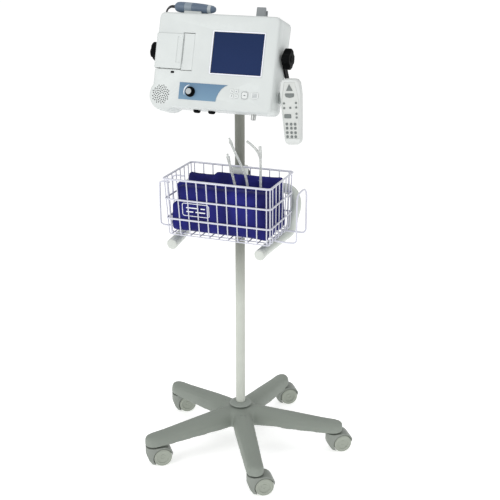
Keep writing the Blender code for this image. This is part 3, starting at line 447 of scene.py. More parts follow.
# Painted reflection: the blue tint in this white stands for the blue cuffs mirrored in the wires.
wire_white_cuff_reflection = powder_coat("wire_white_cuff_reflection", (0.66, 0.67, 0.75), 0.3).material
clamp_white = moulded("clamp_white", (0.72, 0.75, 0.71), 0.4, coat=0.2)
handle_white = powder_coat("handle_white", (0.57, 0.61, 0.565), 0.35).material
cap_white = moulded("cap_white", (0.62, 0.65, 0.61), 0.45)
key_white = moulded("key_white", (0.72, 0.75, 0.74), 0.5)
mark_grey = moulded("mark_grey", (0.12, 0.14, 0.14), 0.5)
mark_pale = moulded("mark_pale", (0.24, 0.27, 0.29), 0.5)
mark_white = moulded("mark_white", (0.85, 0.88, 0.92), 0.45)
cap_grey = moulded("cap_grey", (0.42, 0.45, 0.46), 0.45)
remote_white = moulded("remote_white", (0.65, 0.675, 0.66), 0.45)
remote_grey = moulded("remote_grey", (0.17, 0.19, 0.185), 0.6)
remote_pad = moulded("remote_pad", (0.60, 0.62, 0.60), 0.6)
probe_blue = moulded("probe_blue", (0.115, 0.16, 0.225), 0.4, coat=0.1, gloss=0.35)
probe_band = moulded("probe_band", (0.24, 0.29, 0.34), 0.45)
probe_tip = moulded("probe_tip", (0.42, 0.47, 0.50), 0.35)
clip_grey = moulded("clip_grey", (0.25, 0.27, 0.28), 0.5)
cable_black = moulded("cable_black", (0.02, 0.02, 0.023), 0.5, grain=500.0, gloss=0.3)
driver_black = moulded("driver_black", (0.012, 0.012, 0.013), 0.8, gloss=0.1)


def display_look():
    """A dark blue display behind a clear window, with a painted pool of light that makes it a little
    paler low down.
    """
    look = Look("display_glass", (0.016, 0.028, 0.105), 0.16)
    up = look.node("ShaderNodeSeparateXYZ", ((0, look.place),)).outputs["Z"]
    # Painted light: paler towards the bottom of the window, broken up by noise.
    glow = look.span(up, 0.0, 1.0, 1.16, 1.04)
    painted_glow_patches = look.math("MULTIPLY", glow, look.span(look.noise(16.0), 0.7, 1.0))
    look.base(look.blend(painted_glow_patches, (0.012, 0.026, 0.084), (0.017, 0.034, 0.108)))
    look.dull(look.span(look.noise(60.0, 5.0), 0.13, 0.22))
    look.put("Specular IOR Level", 0.03)
    return look.material


def panel_look():
    """Printed polyester: blue that darkens towards its top edge, under a fine matt grain."""
    look = Look("panel_print", (0.115, 0.27, 0.43), 0.35)
    up = look.node("ShaderNodeSeparateXYZ", ((0, look.place),)).outputs["Z"]
    fade = look.span(up, 0.0, 1.0, 0.985, 1.028)
    look.base(look.blend(fade, (0.155, 0.285, 0.41), (0.10, 0.20, 0.32)))
    look.dull(look.span(look.noise(90.0, 4.0), 0.3, 0.42))
    look.bump(look.noise(1400.0, 2.0), 0.2, 0.00004)
    look.put("Specular IOR Level", 0.3)
    return look.material


def cuff_look(name, colour):
    """Coated nylon: a plain weave of fine yarns with painted highlight on the yarn crowns, creases,
    painted shade and highlight in vertical bands along the folds, and a soft sheen.
    """
    look = Look(name, colour, 0.72)
    waves = []
    for axis in ("X", "Z"):
        wave = look.node("ShaderNodeTexWave", (("Vector", look.place), ("Scale", 330.0),
                                               ("Distortion", 0.6), ("Detail", 1.0)),
                         wave_type="BANDS", bands_direction=axis, wave_profile="SIN")
        waves.append(wave.outputs["Fac"])
    weave = look.math("MULTIPLY", waves[0], waves[1])
    # Painted shade and highlight: vertical bands from 0.6 to 1.3 times the cuff blue, for the light
    # and shade along the folds.
    upright = look.node("ShaderNodeMapping", (("Vector", look.place), ("Scale", (1.0, 1.0, 0.3)))
                        ).outputs["Vector"]
    folds = look.node("ShaderNodeTexNoise", (("Vector", upright), ("Scale", 20.0), ("Detail", 4.0)))
    painted_fold_shade = look.span(folds.outputs["Fac"], 0.0, 1.0, 0.36, 0.64)
    ground = look.blend(painted_fold_shade, tinted(colour, 0.6), tinted(colour, 1.3))
    # The weave pattern, with painted highlight lifting the yarn crowns up to 1.7 times the cuff blue.
    look.base(look.blend(look.span(weave, 0.0, 0.35, 0.2, 0.8), ground, tinted(colour, 1.7)))
    look.dull(look.span(look.noise(45.0, 3.0), 0.62, 0.8))
    look.bump(look.noise(28.0, 5.0), 0.35, 0.0012)
    look.bump(weave, 0.5, 0.00018)
    look.put("Sheen Weight", 0.05)
    look.put("Sheen Roughness", 0.4)
    look.put("Specular IOR Level", 0.14)
    return look.material


def hose_look():
    """Clear flexible tube gone slightly milky."""
    look = Look("clear_hose", (0.80, 0.82, 0.80), 0.22)
    look.base(look.blend(look.span(look.noise(90.0), 0.0, 1.0), (0.72, 0.75, 0.73),
                         (0.86, 0.88, 0.86)))
    look.dull(look.span(look.noise(120.0, 3.0), 0.18, 0.3))
    look.bump(look.noise(300.0, 2.0), 0.15, 0.0001)
    look.put("Transmission Weight", 0.35)
    look.put("IOR", 1.45)
    return look.material


def metal_look(name, colour, roughness):
    look = Look(name, colour, roughness, 1.0)
    look.dull(look.span(look.noise(220.0, 4.0), roughness - 0.08, roughness + 0.12))
    look.base(look.blend(look.span(look.noise(30.0), 0.0, 1.0), tinted(colour, 0.88),
                         tinted(colour, 1.06)))
    look.bump(look.noise(900.0, 2.0), 0.15, 0.00005)
    return look.material


def paper_look():
    look = Look("paper", (0.82, 0.81, 0.77), 0.85)
    look.base(look.blend(look.span(look.noise(60.0), 0.0, 1.0), (0.76, 0.75, 0.71),
                         (0.86, 0.85, 0.82)))
    look.bump(look.noise(1500.0, 3.0), 0.3, 0.00005)
    return look.material


def board_look():
    look = Look("board", (0.02, 0.15, 0.06), 0.45)
    tracks = look.node("ShaderNodeTexBrick", (("Vector", look.place), ("Scale", 70.0),
                                              ("Mortar Size", 0.03))).outputs["Fac"]
    look.base(look.blend(tracks, (0.018, 0.13, 0.055), (0.05, 0.26, 0.11)))
    look.bump(tracks, 0.4, 0.0001)
    return look.material


display_glass = display_look()
panel_print = panel_look()
CUFF = (0.0115, 0.0125, 0.135)
cuff_blue = cuff_look("cuff_blue", CUFF)
clear_hose = hose_look()
plug_metal = metal_look("plug_metal", (0.52, 0.53, 0.52), 0.32)
can_metal = metal_look("can_metal", (0.6, 0.6, 0.58), 0.4)
paper = paper_look()
board_green = board_look()
tread_grey = moulded("tread_grey", (0.36, 0.39, 0.335), 0.6)


# ---------------------------------------------------------------- cords, first of all

def rear_depth(up):
    """How far back the sloping rear of the case stands at a height on the face."""
    return 75.0 + up * 18 / 224


def coil_route():
    """Probe cable: out of the probe, over the case's corner, nine turns on the peg, into the case."""
    back = rear_depth(45.0)
    ring = back + 9.0
    x0, z0, mean, step = -70.0, 45.0, 25.0, 4.65
    start = smooth([(-126.3, 30, 129.5), (-137, 30, 129), (-147, 36, 125), (-155, 46, 116),
                    (-158.5, 60, 104), (-158.5, 76, 94), (-147, 91, 86), (-122, 97, 77),
                    (-104, ring + 9.6, 67), (-95.5, ring + 9.4, 56)], 5.0)
    spots = []
    for row, order in ((1, (-1, 0, 1)), (0, (1, 0, -1)), (-1, (-1, 0, 1))):
        for place in order:
            spots.append((mean + place * step, ring + row * step))
    turns = []
    per_turn = 30
    first = 188.0
    for lap, (r, y) in enumerate(spots):
        r_next, y_next = spots[min(lap + 1, len(spots) - 1)]
        for k in range(per_turn):
            share = k / per_turn
            ease = 0.0 if share < 0.8 else (share - 0.8) / 0.2
            ease = ease * ease * (3 - 2 * ease)
            a = radians(first + 360 * share)
            radius = r + (r_next - r) * ease
            depth = y + (y_next - y) * ease
            if lap == 0 and share < 0.25:
                lift = 1 - share / 0.25
                depth += 4.6 * lift * lift * (3 - 2 * lift)
            turns.append(Vector((x0 + radius * cos(a), depth, z0 + radius * sin(a))))
    hole = rear_depth(11.0)
    r_out = mean + step
    leave = Vector((x0 + r_out * cos(radians(188)), ring - step, z0 + r_out * sin(radians(188))))
    finish = smooth([leave, (-102.5, ring - 3.5, 31), (-108, ring + 3, 20), (-113, hole + 17, 12.5),
                     (-114, hole + 13, 11), (-114, hole + 8, 11), (-114, hole + 3.8, 11)], 4.0)
    return [fc(*p) for p in start + turns + finish]


cable_route = coil_route()
bm = bmesh.new()
sweep(bm, cable_route, 0.00225, 10)
cable = piece("probe_cable_cord", bm, None, cable_black, angle=60)
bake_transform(cable)
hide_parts("probe_cable", "probe_cable_coil", "probe_cable_tail")


HOSE_Y = -101.5


def hose(side, route, fitting, fitting_radius):
    """A cuff's hose with the fitting on its upper end, all in one upright plane."""
    line = [st(*p) for p in smooth([(x, HOSE_Y, z) for x, z in route], 5.0)]
    made = bmesh.new()
    sweep(made, line[::-1], 0.0031, 16)
    tube = piece(f"cuff_hose_{side}_tube", made, "stand", clear_hose,
                 (f"cuff_hose_{side}",), angle=60)
    made = bmesh.new()
    points = [st(x, HOSE_Y, z) for x, z in fitting]
    sweep(made, points, 0.001, 20, girth=fitting_radius)
    end = piece(f"cuff_hose_{side}_fitting", made, "stand", clear_hose)


hose("left", [(10.5, 833), (14, 818), (21.5, 791), (30, 757)],
     [(7.2, 846.8), (7.9, 843.6), (8.6, 840.5), (8.7, 840.3),
      (10.4, 833), (10.5, 832.6), (12.1, 825.5)],
     [2.6, 2.6, 2.8, 4.6, 4.4, 3.9, 3.8])
hose("middle", [(16.5, 875), (24, 858), (38, 831), (54, 797),
                (62, 757)],
     [(12.2, 886.6), (13.4, 883.4), (15, 879.3), (15.1, 879),
      (17.5, 873.0), (17.6, 872.8), (20, 867)],
     [2.4, 2.4, 2.6, 4.5, 4.3, 3.8, 3.8])
hose("right", [(57.4, 882), (71, 873), (85, 859), (92.3, 842),
               (93, 812), (93.4, 757)],
     [(91.2, 872.5), (91.3, 871.5), (91.6, 866), (91.9, 858),
      (92.2, 851), (92.6, 843)],
     [3.0, 3.7, 3.8, 4.3, 4.3, 3.8])


# ---------------------------------------------------------------- cuffs

def cuff_form(left_top, left_low, right, low, high, near, far, lean, taper=0, swell=3.0):
    """A folded cuff on edge, a little smaller than the room it fills."""
    bm = bmesh.new()
    rings = []
    step = left_low + (left_top - left_low) * 0.16
    for share, left in ((0.0, left_low), (0.05, left_low), (0.34, left_low), (0.60, step),
                        (0.66, left_top), (0.96, left_top), (1.0, left_top)):
        z = low + swell + (high - low - 2 * swell) * share
        y0 = near + swell + lean * (1 - share)
        pinch = 3.0 if share in (0.0, 1.0) else 0.0
        flat = rounded(left + swell + pinch, right - swell - pinch, y0 + pinch,
                       far - swell - pinch - taper * share, 3.0, 3)
        rings.append([bm.verts.new(st(x, y, z)) for x, y in flat])
    for a, b in zip(rings, rings[1:]):
        for k in range(len(a)):
            j = (k + 1) % len(a)
            bm.faces.new((a[k], a[j], b[j], b[k]))
    bm.faces.new(rings[0][::-1])
    bm.faces.new(rings[-1])
    return bm


CUFF_CELL, CUFF_GROWTH, CUFF_CREASE = 0.0045, 0.0032, 0.0018
CLOTH_FRAMES = 20


def inflate(thing, cap, pressure=4.0):
    """Swell a form as filled fabric swells: blow it up as cloth, and cap the growth."""
    rest = [v.co.copy() for v in thing.data.vertices]
    cloth = thing.modifiers.new("cloth", "CLOTH")
    cloth.settings.use_pressure = True
    cloth.settings.uniform_pressure_force = pressure
    cloth.settings.effector_weights.gravity = 0.0
    cloth.settings.tension_stiffness = 20
    cloth.settings.compression_stiffness = 20
    cloth.settings.bending_stiffness = 1.5
    SCENE.frame_start, SCENE.frame_end = 1, CLOTH_FRAMES
    for step in range(1, CLOTH_FRAMES + 1):
        SCENE.frame_set(step)
    seen = thing.evaluated_get(bpy.context.evaluated_depsgraph_get())
    blown = [v.co.copy() for v in seen.data.vertices]
    thing.modifiers.clear()
    SCENE.frame_set(1)
    for vertex, old, new in zip(thing.data.vertices, rest, blown):
        away = new - old
        if away.length > cap:
            away *= cap / away.length
        vertex.co = old + away


def crease(thing, amount, seed):
    """Push the surface in and out along soft vertical folds, as cloth that was folded and packed."""
    for vertex in thing.data.vertices:
        p = vertex.co
        fold = noise.noise(Vector((p.x * 26 + seed, p.y * 9, p.z * 7)))
        fine = noise.noise(Vector((p.x * 70, p.y * 40 + seed, p.z * 34)))
        vertex.co = p + vertex.normal * amount * (0.75 * fold + 0.25 * fine)


def settle(thing, edge, high, depth):
    """Let the top stand lower on the left of an edge, where the roll has fewer layers."""
    edge, high = edge * MM, high * MM
    for vertex in thing.data.vertices:
        share = part_of((edge + 0.0025 - vertex.co.x) / 0.005)
        near_top = part_of((vertex.co.z - high + 0.04) / 0.035)
        vertex.co.z -= depth * MM * share * near_top


def keep_within(thing, sizes):
    """Hold the fabric inside its own room in the basket, where the wires press it flat."""
    low, high, near, far, lean = sizes[3:8]
    for vertex in thing.data.vertices:
        p = vertex.co
        share = part_of((p.z / MM - low) / (high - low))
        front = POLE.y + (near + lean * (1 - share)) * MM
        p.y = min(max(p.y, front), POLE.y + far * MM)
        p.z = max(p.z, low * MM)


def cuff(name, node, sizes, seed, steps=()):
    bm = cuff_form(*sizes)
    thing = piece(name, bm, None, cuff_blue)
    remeshed(thing, CUFF_CELL)
    inflate(thing, CUFF_GROWTH)
    thing.data.update()
    for edge, depth in steps:
        settle(thing, edge, sizes[4], depth)
    thing.data.update()
    crease(thing, CUFF_CREASE, seed)
    keep_within(thing, sizes)
    fine = thing.modifiers.new("fine", "SUBSURF")
    fine.levels = fine.render_levels = 1
    applied(thing)
    thing.data.materials.clear()
    thing.data.materials.append(cuff_blue)
    shade(thing.data, 80)
    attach(thing, "stand")
    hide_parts(node)
    return thing


front_cuff = cuff("cuff_front_pad", "cuff_front", (-91, -116, 142, 656, 783, -187.5, -151, 13), 1.3)
cuff("cuff_middle_pad", "cuff_middle", (-114, -117, 141, 656, 781, -150, -106, 0), 5.1)
cuff("cuff_rear_pad", "cuff_rear", (-121, -119, 141, 656, 791, -64, -41, -32, 4), 9.7,
     ((-66, 8.0),))


# ---------------------------------------------------------------- wire basket and hooks

PITCH = 25.4
BX, BFRONT, BBACK, BRIM, BDROP = 12.4, -194.0, -19.0, 795.0, 143.0
BHALF = 11 * PITCH / 2


def basket_side(z):
    """Left, right, front and back of the basket's outline at a height."""
    fall = (BRIM - z) / BDROP
    inset = 4.0 * fall + 2.3
    return BX - BHALF + inset, BX + BHALF - inset, BFRONT + 14.0 * fall + 2.3, BBACK - 2.3


def corner_loop(z, radius):
    left, right, front, back = basket_side(z)
    return [(x, y, z) for x, y in rounded(left, right, front, back, radius, 6)]


bm = bmesh.new()
for drop, wire in ((0.0, 2.6), (51.0, 2.25), (101.5, 2.25)):
    sweep(bm, [st(*p) for p in corner_loop(BRIM - drop, 9.0)], wire * MM, 12, closed=True)


def bent(points, bend=7.0):
    """A run with its inner corners rounded off."""
    out = [Vector(points[0])]
    for before, corner, after in zip(points, points[1:], points[2:]):
        before, corner, after = Vector(before), Vector(corner), Vector(after)
        a = corner + (before - corner).normalized() * bend
        b = corner + (after - corner).normalized() * bend
        for i in range(6):
            t = i / 5
            out.append(a * (1 - t) ** 2 + corner * 2 * t * (1 - t) + b * t ** 2)
    out.append(Vector(points[-1]))
    return out


FLOOR_Z = 652.6
UPRIGHT_R = 1.55
for i in range(-5, 6):
    x_top = BX + i * PITCH
    x_low = BX + i * PITCH * (1 - 4.0 / BHALF)
    _, _, front_top, back_top = basket_side(BRIM)
    _, _, front_low, back_low = basket_side(FLOOR_Z)
    inner = 2.6
    run = [(x_top, front_top + inner, BRIM + 0.4), (x_low, front_low + inner, FLOOR_Z),
           (x_low, back_low - inner, FLOOR_Z), (x_top, back_top - inner, BRIM + 0.4)]
    sweep(bm, [st(*p) for p in bent(run)], UPRIGHT_R * MM, 8)
SIDE_Z = FLOOR_Z - 2.2
for share in (0.035, 1 / 7, 2 / 7, 3 / 7, 4 / 7, 5 / 7, 6 / 7, 0.965):
    left_top, right_top, front_top, back_top = basket_side(BRIM)
    left_low, right_low, front_low, back_low = basket_side(SIDE_Z)
    y_top = front_top + (back_top - front_top) * share
    y_low = front_low + (back_low - front_low) * share
    inner = 2.4
    run = [(left_top + inner, y_top, BRIM + 0.4), (left_low + inner, y_low, SIDE_Z),
           (right_low - inner, y_low, SIDE_Z), (right_top - inner, y_top, BRIM + 0.4)]
    sweep(bm, [st(*p) for p in bent(run)], UPRIGHT_R * MM, 8)
piece("basket_wirework", bm, "stand", wire_white_cuff_reflection,
      ("basket_front", "basket_back", "basket_left", "basket_right", "basket_floor"), angle=60)

HOOKS = {
    "right": [(152.5, -160, 661), (168, -160, 660), (193, -160, 660), (201, -160, 662),
              (205, -160, 668), (205, -160, 680), (205, -160, 752), (205, -159, 766),
              (205, -153, 775), (205, -142, 779), (205, -122, 780), (205, -104, 778),
              (205, -93, 771), (205, -88, 761), (205, -87, 748), (205, -87, 684),
              (204, -87, 671), (199, -87, 665), (188, -87, 664), (168, -87, 664), (152.5, -87, 664)],
    "left": [(-127.5, -144, 773), (-142, -144, 774), (-153, -144, 771), (-155, -144, 760),
             (-155, -144, 676), (-152, -144, 665), (-142, -144, 662), (-133, -141, 662),
             (-131, -132, 664), (-131, -72, 697), (-134, -62, 700), (-146, -60, 700),
             (-158, -60, 703), (-160, -60, 714), (-160, -60, 754), (-157, -60, 764),
             (-146, -60, 767), (-127.5, -60, 767)],
}
for side, points in HOOKS.items():
    bm = bmesh.new()
    sweep(bm, [st(*p) for p in smooth(points, 4.0)], 2.2 * MM, 12)
    piece(f"hook_{side}", bm, "stand", wire_white_cuff_reflection, (f"wire_hook_{side}",), angle=60)


# ---------------------------------------------------------------- pole, clamps and push handle

bm = bmesh.new()
outer, inner = 12.7 * MM, 11.2 * MM
lathe(bm, [(inner, 0.0645), (inner, 1.0035), (outer - 0.0004, 1.004), (outer, 1.0035),
           (outer, 0.0645), (outer - 0.0004, 0.064), (inner, 0.0645)],
      Matrix.Translation(POLE), 64)
bmesh.ops.remove_doubles(bm, verts=bm.verts, dist=1e-6)
piece("pole_tube", bm, "stand", pole_paint, ("pole",))

RIGHT_ARM = [(0, 29, 735), (60, 29, 735), (110, 22, 738), (139, 9, 732), (150, 3, 706),
             (145, -1.5, 674), (141, -3, 651), (137, -13, 635.5), (130, -38, 630.5),
             (122, -84, 626), (117, -130, 624), (115, -168, 622)]
arm = smooth(RIGHT_ARM, 6.0)
line = [Vector((-p.x, p.y, p.z)) for p in reversed(arm[1:])] + arm
bm = bmesh.new()
sweep(bm, [st(*p) for p in line], 13.2 * MM, 28)
piece("handle_tube", bm, "stand", handle_white, ("push_handle",), angle=60)
bm = bmesh.new()
for sign in (-1, 1):
    tip = Vector((sign * 115, -168, 622))
    out = (tip - Vector((sign * 117, -130, 624))).normalized()
    spots = [tip + out * d for d in (-12.0, -0.5, 0.6, 1.6, 2.3)]
    sweep(bm, [st(*p) for p in spots], 1.0 * MM, 28, girth=[13.5, 13.5, 12.9, 11.4, 8.0])
piece("handle_caps", bm, "stand", cap_white)

softened("basket_clamp", "basket_bracket", "stand", clamp_white, 0.5)
softened("handle_block", "handle_clamp", "stand", clamp_white, 0.5)
softened("bracket_knob_cap", "bracket_knob", "bracket_knob", black, 0.4)


# ---------------------------------------------------------------- base and casters

def base_shell():
    """The star with its legs blended into the hub, as one moulding runs."""
    thing = piece("base_moulding", from_node("base_star"), None, base_grey)
    remeshed(thing, 0.0022)
    ease = thing.modifiers.new("ease", "SMOOTH")
    ease.factor = 0.5
    ease.iterations = 8
    applied(thing)
    middle = thing.vertex_groups.new(name="middle")
    for vertex in thing.data.vertices:
        reach = Vector((vertex.co.x, vertex.co.y)).length / MM
        weight = part_of((112.0 - reach) / 30.0) * part_of((reach - 34.0) / 8.0)
        if weight > 0:
            middle.add([vertex.index], weight, "REPLACE")
    fillet = thing.modifiers.new("fillet", "SMOOTH")
    fillet.factor = 0.5
    fillet.iterations = 55
    fillet.vertex_group = "middle"
    applied(thing)
    thing.data.materials.clear()
    thing.data.materials.append(base_grey)
    shade(thing.data, 50)
    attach(thing, "stand")
    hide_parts("base_star")


base_shell()
softened("collar_moulding", "hub_collar", "stand", hub_grey, 0.7)

WHEEL_R = 25.0
TRAIL = 20.0
STEM_REACH, FIRST_LEG = 257.5, -132.6
AXLE_Z = WHEEL_R * cos(pi / 20)
CASTER_WAYS = (38.0, 34.0, 36.0, 35.0, 35.0)
for k, way in enumerate(CASTER_WAYS, start=1):
    a = radians(FIRST_LEG + 72 * (k - 1))
    swivel = (Matrix.Translation(st(STEM_REACH * cos(a), STEM_REACH * sin(a), 0))
              @ Matrix.Rotation(radians(way), 4, "Z"))
    softened(f"hood_{k}", f"caster_hood_{k}", f"caster_{k}", caster_grey, 0.6)
    axle = (swivel @ Matrix.Translation((TRAIL * MM, 0, AXLE_Z * MM))
            @ Matrix.Rotation(pi / 2, 4, "X"))
    bm = bmesh.new()
    half = [(0.0, 17.6), (4.6, 17.6), (5.0, 18.6), (7.4, 18.8), (7.8, 17.9), (15.5, 18.9),
            (16.0, 20.6), (19.6, 21.3), (20.2, 20.6), (22.6, 21.3), (23.8, 20.6), (24.6, 18.8),
            (24.6, 8.0), (23.4, 5.4), (8.0, 5.2), (3.5, 5.2)]
    both = half + [(r, -z) for r, z in reversed(half)]
    lathe_mm(bm, both, axle, 56)
    piece(f"wheels_{k}", bm, f"wheels_{k}", tread_grey, (f"caster_wheels_{k}",),
          angle=28)


# ---------------------------------------------------------------- console

def round_holes(places, radius, start, depth, sides=10):
    """Short rods through the face, for cutting a pattern of holes."""
    bm = bmesh.new()
    for x, z in places:
        rows = []
        for y in (start, start + depth):
            rows.append([bm.verts.new(fc(x + radius * cos(2 * pi * i / sides), y,
                                         z + radius * sin(2 * pi * i / sides)))
                         for i in range(sides)])
        bm.faces.new(rows[0][::-1])
        bm.faces.new(rows[1])
        for i in range(sides):
            j = (i + 1) % sides
            bm.faces.new((rows[0][i], rows[0][j], rows[1][j], rows[1][i]))
    return bm


SPEAKER = (-126.0, -80.0)
GOLDEN_ANGLE = 2.399963
SCREEN = (53.9, 24.0, 123.0, 94.0)
holes = []
for i in range(1, 68):
    r = 2.7 * i ** 0.5
    a = i * GOLDEN_ANGLE
    holes.append((SPEAKER[0] + r * cos(a), SPEAKER[1] + r * sin(a)))
softened("console_front", "front_shell", "console", case_white, 0.7,
         cutters=(round_holes([SPEAKER], 24.0, 1.0, 5.0, 48), round_holes(holes, 1.5, -1.5, 9.0)))
# Painted shade: a black disc just behind the speaker holes so that they read dark.
bm = round_holes([SPEAKER], 23.6, 1.15, 0.3, 48)
piece("speaker_shade_disc", bm, "console", driver_black)
softened("console_rear", "rear_shell", "console", case_white, 0.7)
softened("printer_cover", "printer_door", "printer_door", case_white, 0.4)
softened("printer_tray", "printer_mechanism", "console", case_white, 0.3)
softened("latch_button", "door_latch", "door_latch", black, 0.3)
softened("socket_block", "cuff_sockets", "console", black, 0.4)
softened("connector_plug", "probe_connector", "console", plug_metal, 0.25)
# Painted shade: the saddle takes the darker case white because it sits in shadow under the probe.
softened("probe_saddle", "probe_cradle", "console", case_darker, 0.4)
softened("spare_clip", "accessory_clip", "console", clip_grey, 0.5)
softened("yoke_bar", "tilt_yoke", "stand", yoke_black, 0.5)
for side in ("left", "right"):
    softened(f"clamp_knob_{side}", f"tilt_knob_{side}", f"tilt_knob_{side}", black,
             0.9, segments=3)
for side, sign, out in (("left", -1, -0.1961), ("right", 1, 0.1509)):
    hub = (Matrix.Translation((out, -0.1436, 1.0850)) @ Matrix.Rotation(sign * pi / 2, 4, "Y"))
    bm = bmesh.new()
    lathe_mm(bm, ((0.0, 0.1), (8.2, 0.1), (8.2, 0.8), (7.6, 1.3), (6.3, 1.3), (5.8, 0.7),
                  (0.0, 0.7)), hub, 40)
    piece(f"clamp_cap_{side}", bm, f"tilt_knob_{side}", black)
softened("handset_arm", "remote_holster", "console", case_darker, 0.4)
softened("handset_shell", "remote_case", "remote", remote_white, 0.5)
softened("key_cursor", "cursor_keys", "cursor_keys", key_white, 0.3)
softened("key_select", "select_key", "select_key", key_white, 0.3)
softened("key_print", "print_key", "print_key", key_white, 0.3)
softened("display_window", "screen_lens", "console", display_glass, 0.15)
# Painted highlight: a pale band round the display window where its chamfer catches the light.
bm = bmesh.new()
x0, x1 = SCREEN[0] - SCREEN[2] / 2, SCREEN[0] + SCREEN[2] / 2
z0, z1 = SCREEN[1] - SCREEN[3] / 2, SCREEN[1] + SCREEN[3] / 2
band(bm, rounded(x0 - 1.7, x1 + 1.7, z0 - 1.7, z1 + 1.7, 2.2, 4), FACE_FRAME, 2.4, -0.35, -0.02)
piece("display_frame_highlight", bm, "console", frame_highlight)
softened("panel_film", "control_overlay", "console", panel_print, 0.1)
softened("speaker_driver", "speaker", "console", driver_black, 0.2)


def recolour(node, material):
    data = NODES[node].data
    data.materials.clear()
    data.materials.append(material)


recolour("lcd_module", driver_black)
recolour("main_board", board_green)
recolour("power_supply", can_metal)
recolour("paper_roll", paper)

# Volume knob: a black skirt with a pale cap
VOLUME = (-51.5, -69.7)
axis = FACE_FRAME @ Matrix.Translation((VOLUME[0] * MM, -1.2 * MM, VOLUME[1] * MM)) \
    @ Matrix.Rotation(pi / 2, 4, "X")
bm = bmesh.new()
skirt = [(0.0, -9.0), (3.0, -9.0), (3.0, 0.0), (11.8, 0.0), (12.0, 0.3), (12.0, 1.3), (11.6, 1.8),
         (9.4, 2.6), (9.0, 3.2), (8.8, 9.6), (8.3, 10.4), (7.4, 10.6), (7.1, 10.2), (0.0, 10.2)]
lathe_mm(bm, skirt, axis, 60)
piece("volume_skirt", bm, "volume_knob", black, ("volume_knob",), angle=30)
bm = bmesh.new()
lathe_mm(bm, [(0.0, 10.25), (6.9, 10.25), (6.9, 11.0), (6.4, 11.35), (0.0, 11.4)], axis)
piece("volume_cap", bm, "volume_knob", cap_grey, angle=30)

# Printed marks: the volume wedge, frames and arrows, none of them lettering
bm = bmesh.new()
wedge = []
ARC_R = 16.2
for i in range(21):
    a = radians(100 + 110 * i / 20)
    wedge.append((VOLUME[0] + ARC_R * cos(a), VOLUME[1] + ARC_R * sin(a),
                  0.4 + 2.2 * sin(pi * i / 20)))
outline = [(x + w * 0.5 * (x - VOLUME[0]) / ARC_R, z + w * 0.5 * (z - VOLUME[1]) / ARC_R)
           for x, z, w in wedge]
outline += [(x - w * 0.5 * (x - VOLUME[0]) / ARC_R, z - w * 0.5 * (z - VOLUME[1]) / ARC_R)
            for x, z, w in reversed(wedge)]
slab(bm, outline, FACE_FRAME, -0.99, -0.88)
piece("volume_wedge", bm, "console", mark_white)

CURSOR_AT, SELECT_AT, PRINT_AT = (57, -67), (82.7, -69.3), (107, -68.5)
bm = bmesh.new()
for dx, dz, way in ((-5.6, 5.6, 135), (5.6, 5.6, 45), (-5.6, -5.6, 225), (5.6, -5.6, 315)):
    a = radians(way)
    tri = [(CURSOR_AT[0] + dx + 2.3 * cos(a + t), CURSOR_AT[1] + dz + 2.3 * sin(a + t))
           for t in (0, 2.4, -2.4)]
    slab(bm, tri, FACE_FRAME, -1.12, -0.98)
piece("cursor_marks", bm, "cursor_keys", mark_pale)
bm = bmesh.new()
band(bm, centred(*SELECT_AT, 7.2, 7.8, 4.2), FACE_FRAME, 0.9, -1.32, -1.18)
slab(bm, centred(*SELECT_AT, 2.4, 1.0, 0.9, 3), FACE_FRAME, -1.32, -1.18)
piece("select_marks", bm, "select_key", mark_grey)
bm = bmesh.new()
for dz in (-4.2, -1.4, 1.4, 4.2):
    slab(bm, centred(PRINT_AT[0], PRINT_AT[1] + dz, 6.0, 0.5, 0.45, 2), FACE_FRAME, -1.32, -1.18)
piece("print_marks", bm, "print_key", mark_pale)

# Cuff label: a printed outline with plain bars in it, on the front cuff's face
def on_cuff(x, z):
    """A point on the front cuff's face, found by looking at it from the front."""
    origin = st(x, -230, z)
    hit, place, _, _ = front_cuff.ray_cast(front_cuff.matrix_world.inverted() @ origin, (0, 1, 0))
    return front_cuff.matrix_world @ place if hit else st(x, -180, z)


def cuff_stripe(line, width, closed):
    bm = bmesh.new()
    lifted = []
    count = len(line)
    for i, (x, z) in enumerate(line):
        before = Vector(line[i - 1]) if i or closed else Vector(line[i])
        after = Vector(line[(i + 1) % count]) if i + 1 < count or closed else Vector(line[i])
        along = (after - before).normalized()
        across = Vector((-along.y, along.x)) * width / 2
        for sign in (1, -1):
            p = on_cuff(x + across.x * sign, z + across.y * sign)
            lifted.append((p + Vector((0, -0.0007, 0)), p + Vector((0, 0.0002, 0))))
    rows = [[bm.verts.new(p) for p in pair] for pair in lifted]
    ends = count if closed else count - 1
    for i in range(ends):
        j = (i + 1) % count
        a, b, c, d = rows[2 * i], rows[2 * i + 1], rows[2 * j + 1], rows[2 * j]
        bm.faces.new((a[0], b[0], c[0], d[0]))
        bm.faces.new((a[1], d[1], c[1], b[1]))
        bm.faces.new((a[0], d[0], d[1], a[1]))
        bm.faces.new((b[0], b[1], c[1], c[0]))
    if not closed:
        for i, flip in ((0, False), (count - 1, True)):
            a, b = rows[2 * i], rows[2 * i + 1]
            bm.faces.new((a[0], a[1], b[1], b[0]) if not flip else (a[0], b[0], b[1], a[1]))
    return bm


def dense(line, step, closed=True):
    out = []
    run = list(line) + ([line[0]] if closed else [])
    for a, b in zip(run, run[1:]):
        a, b = Vector(a), Vector(b)
        parts = max(1, round((b - a).length / step))
        out += [tuple(a + (b - a) * i / parts) for i in range(parts)]
    if not closed:
        out.append(tuple(run[-1]))
    return out


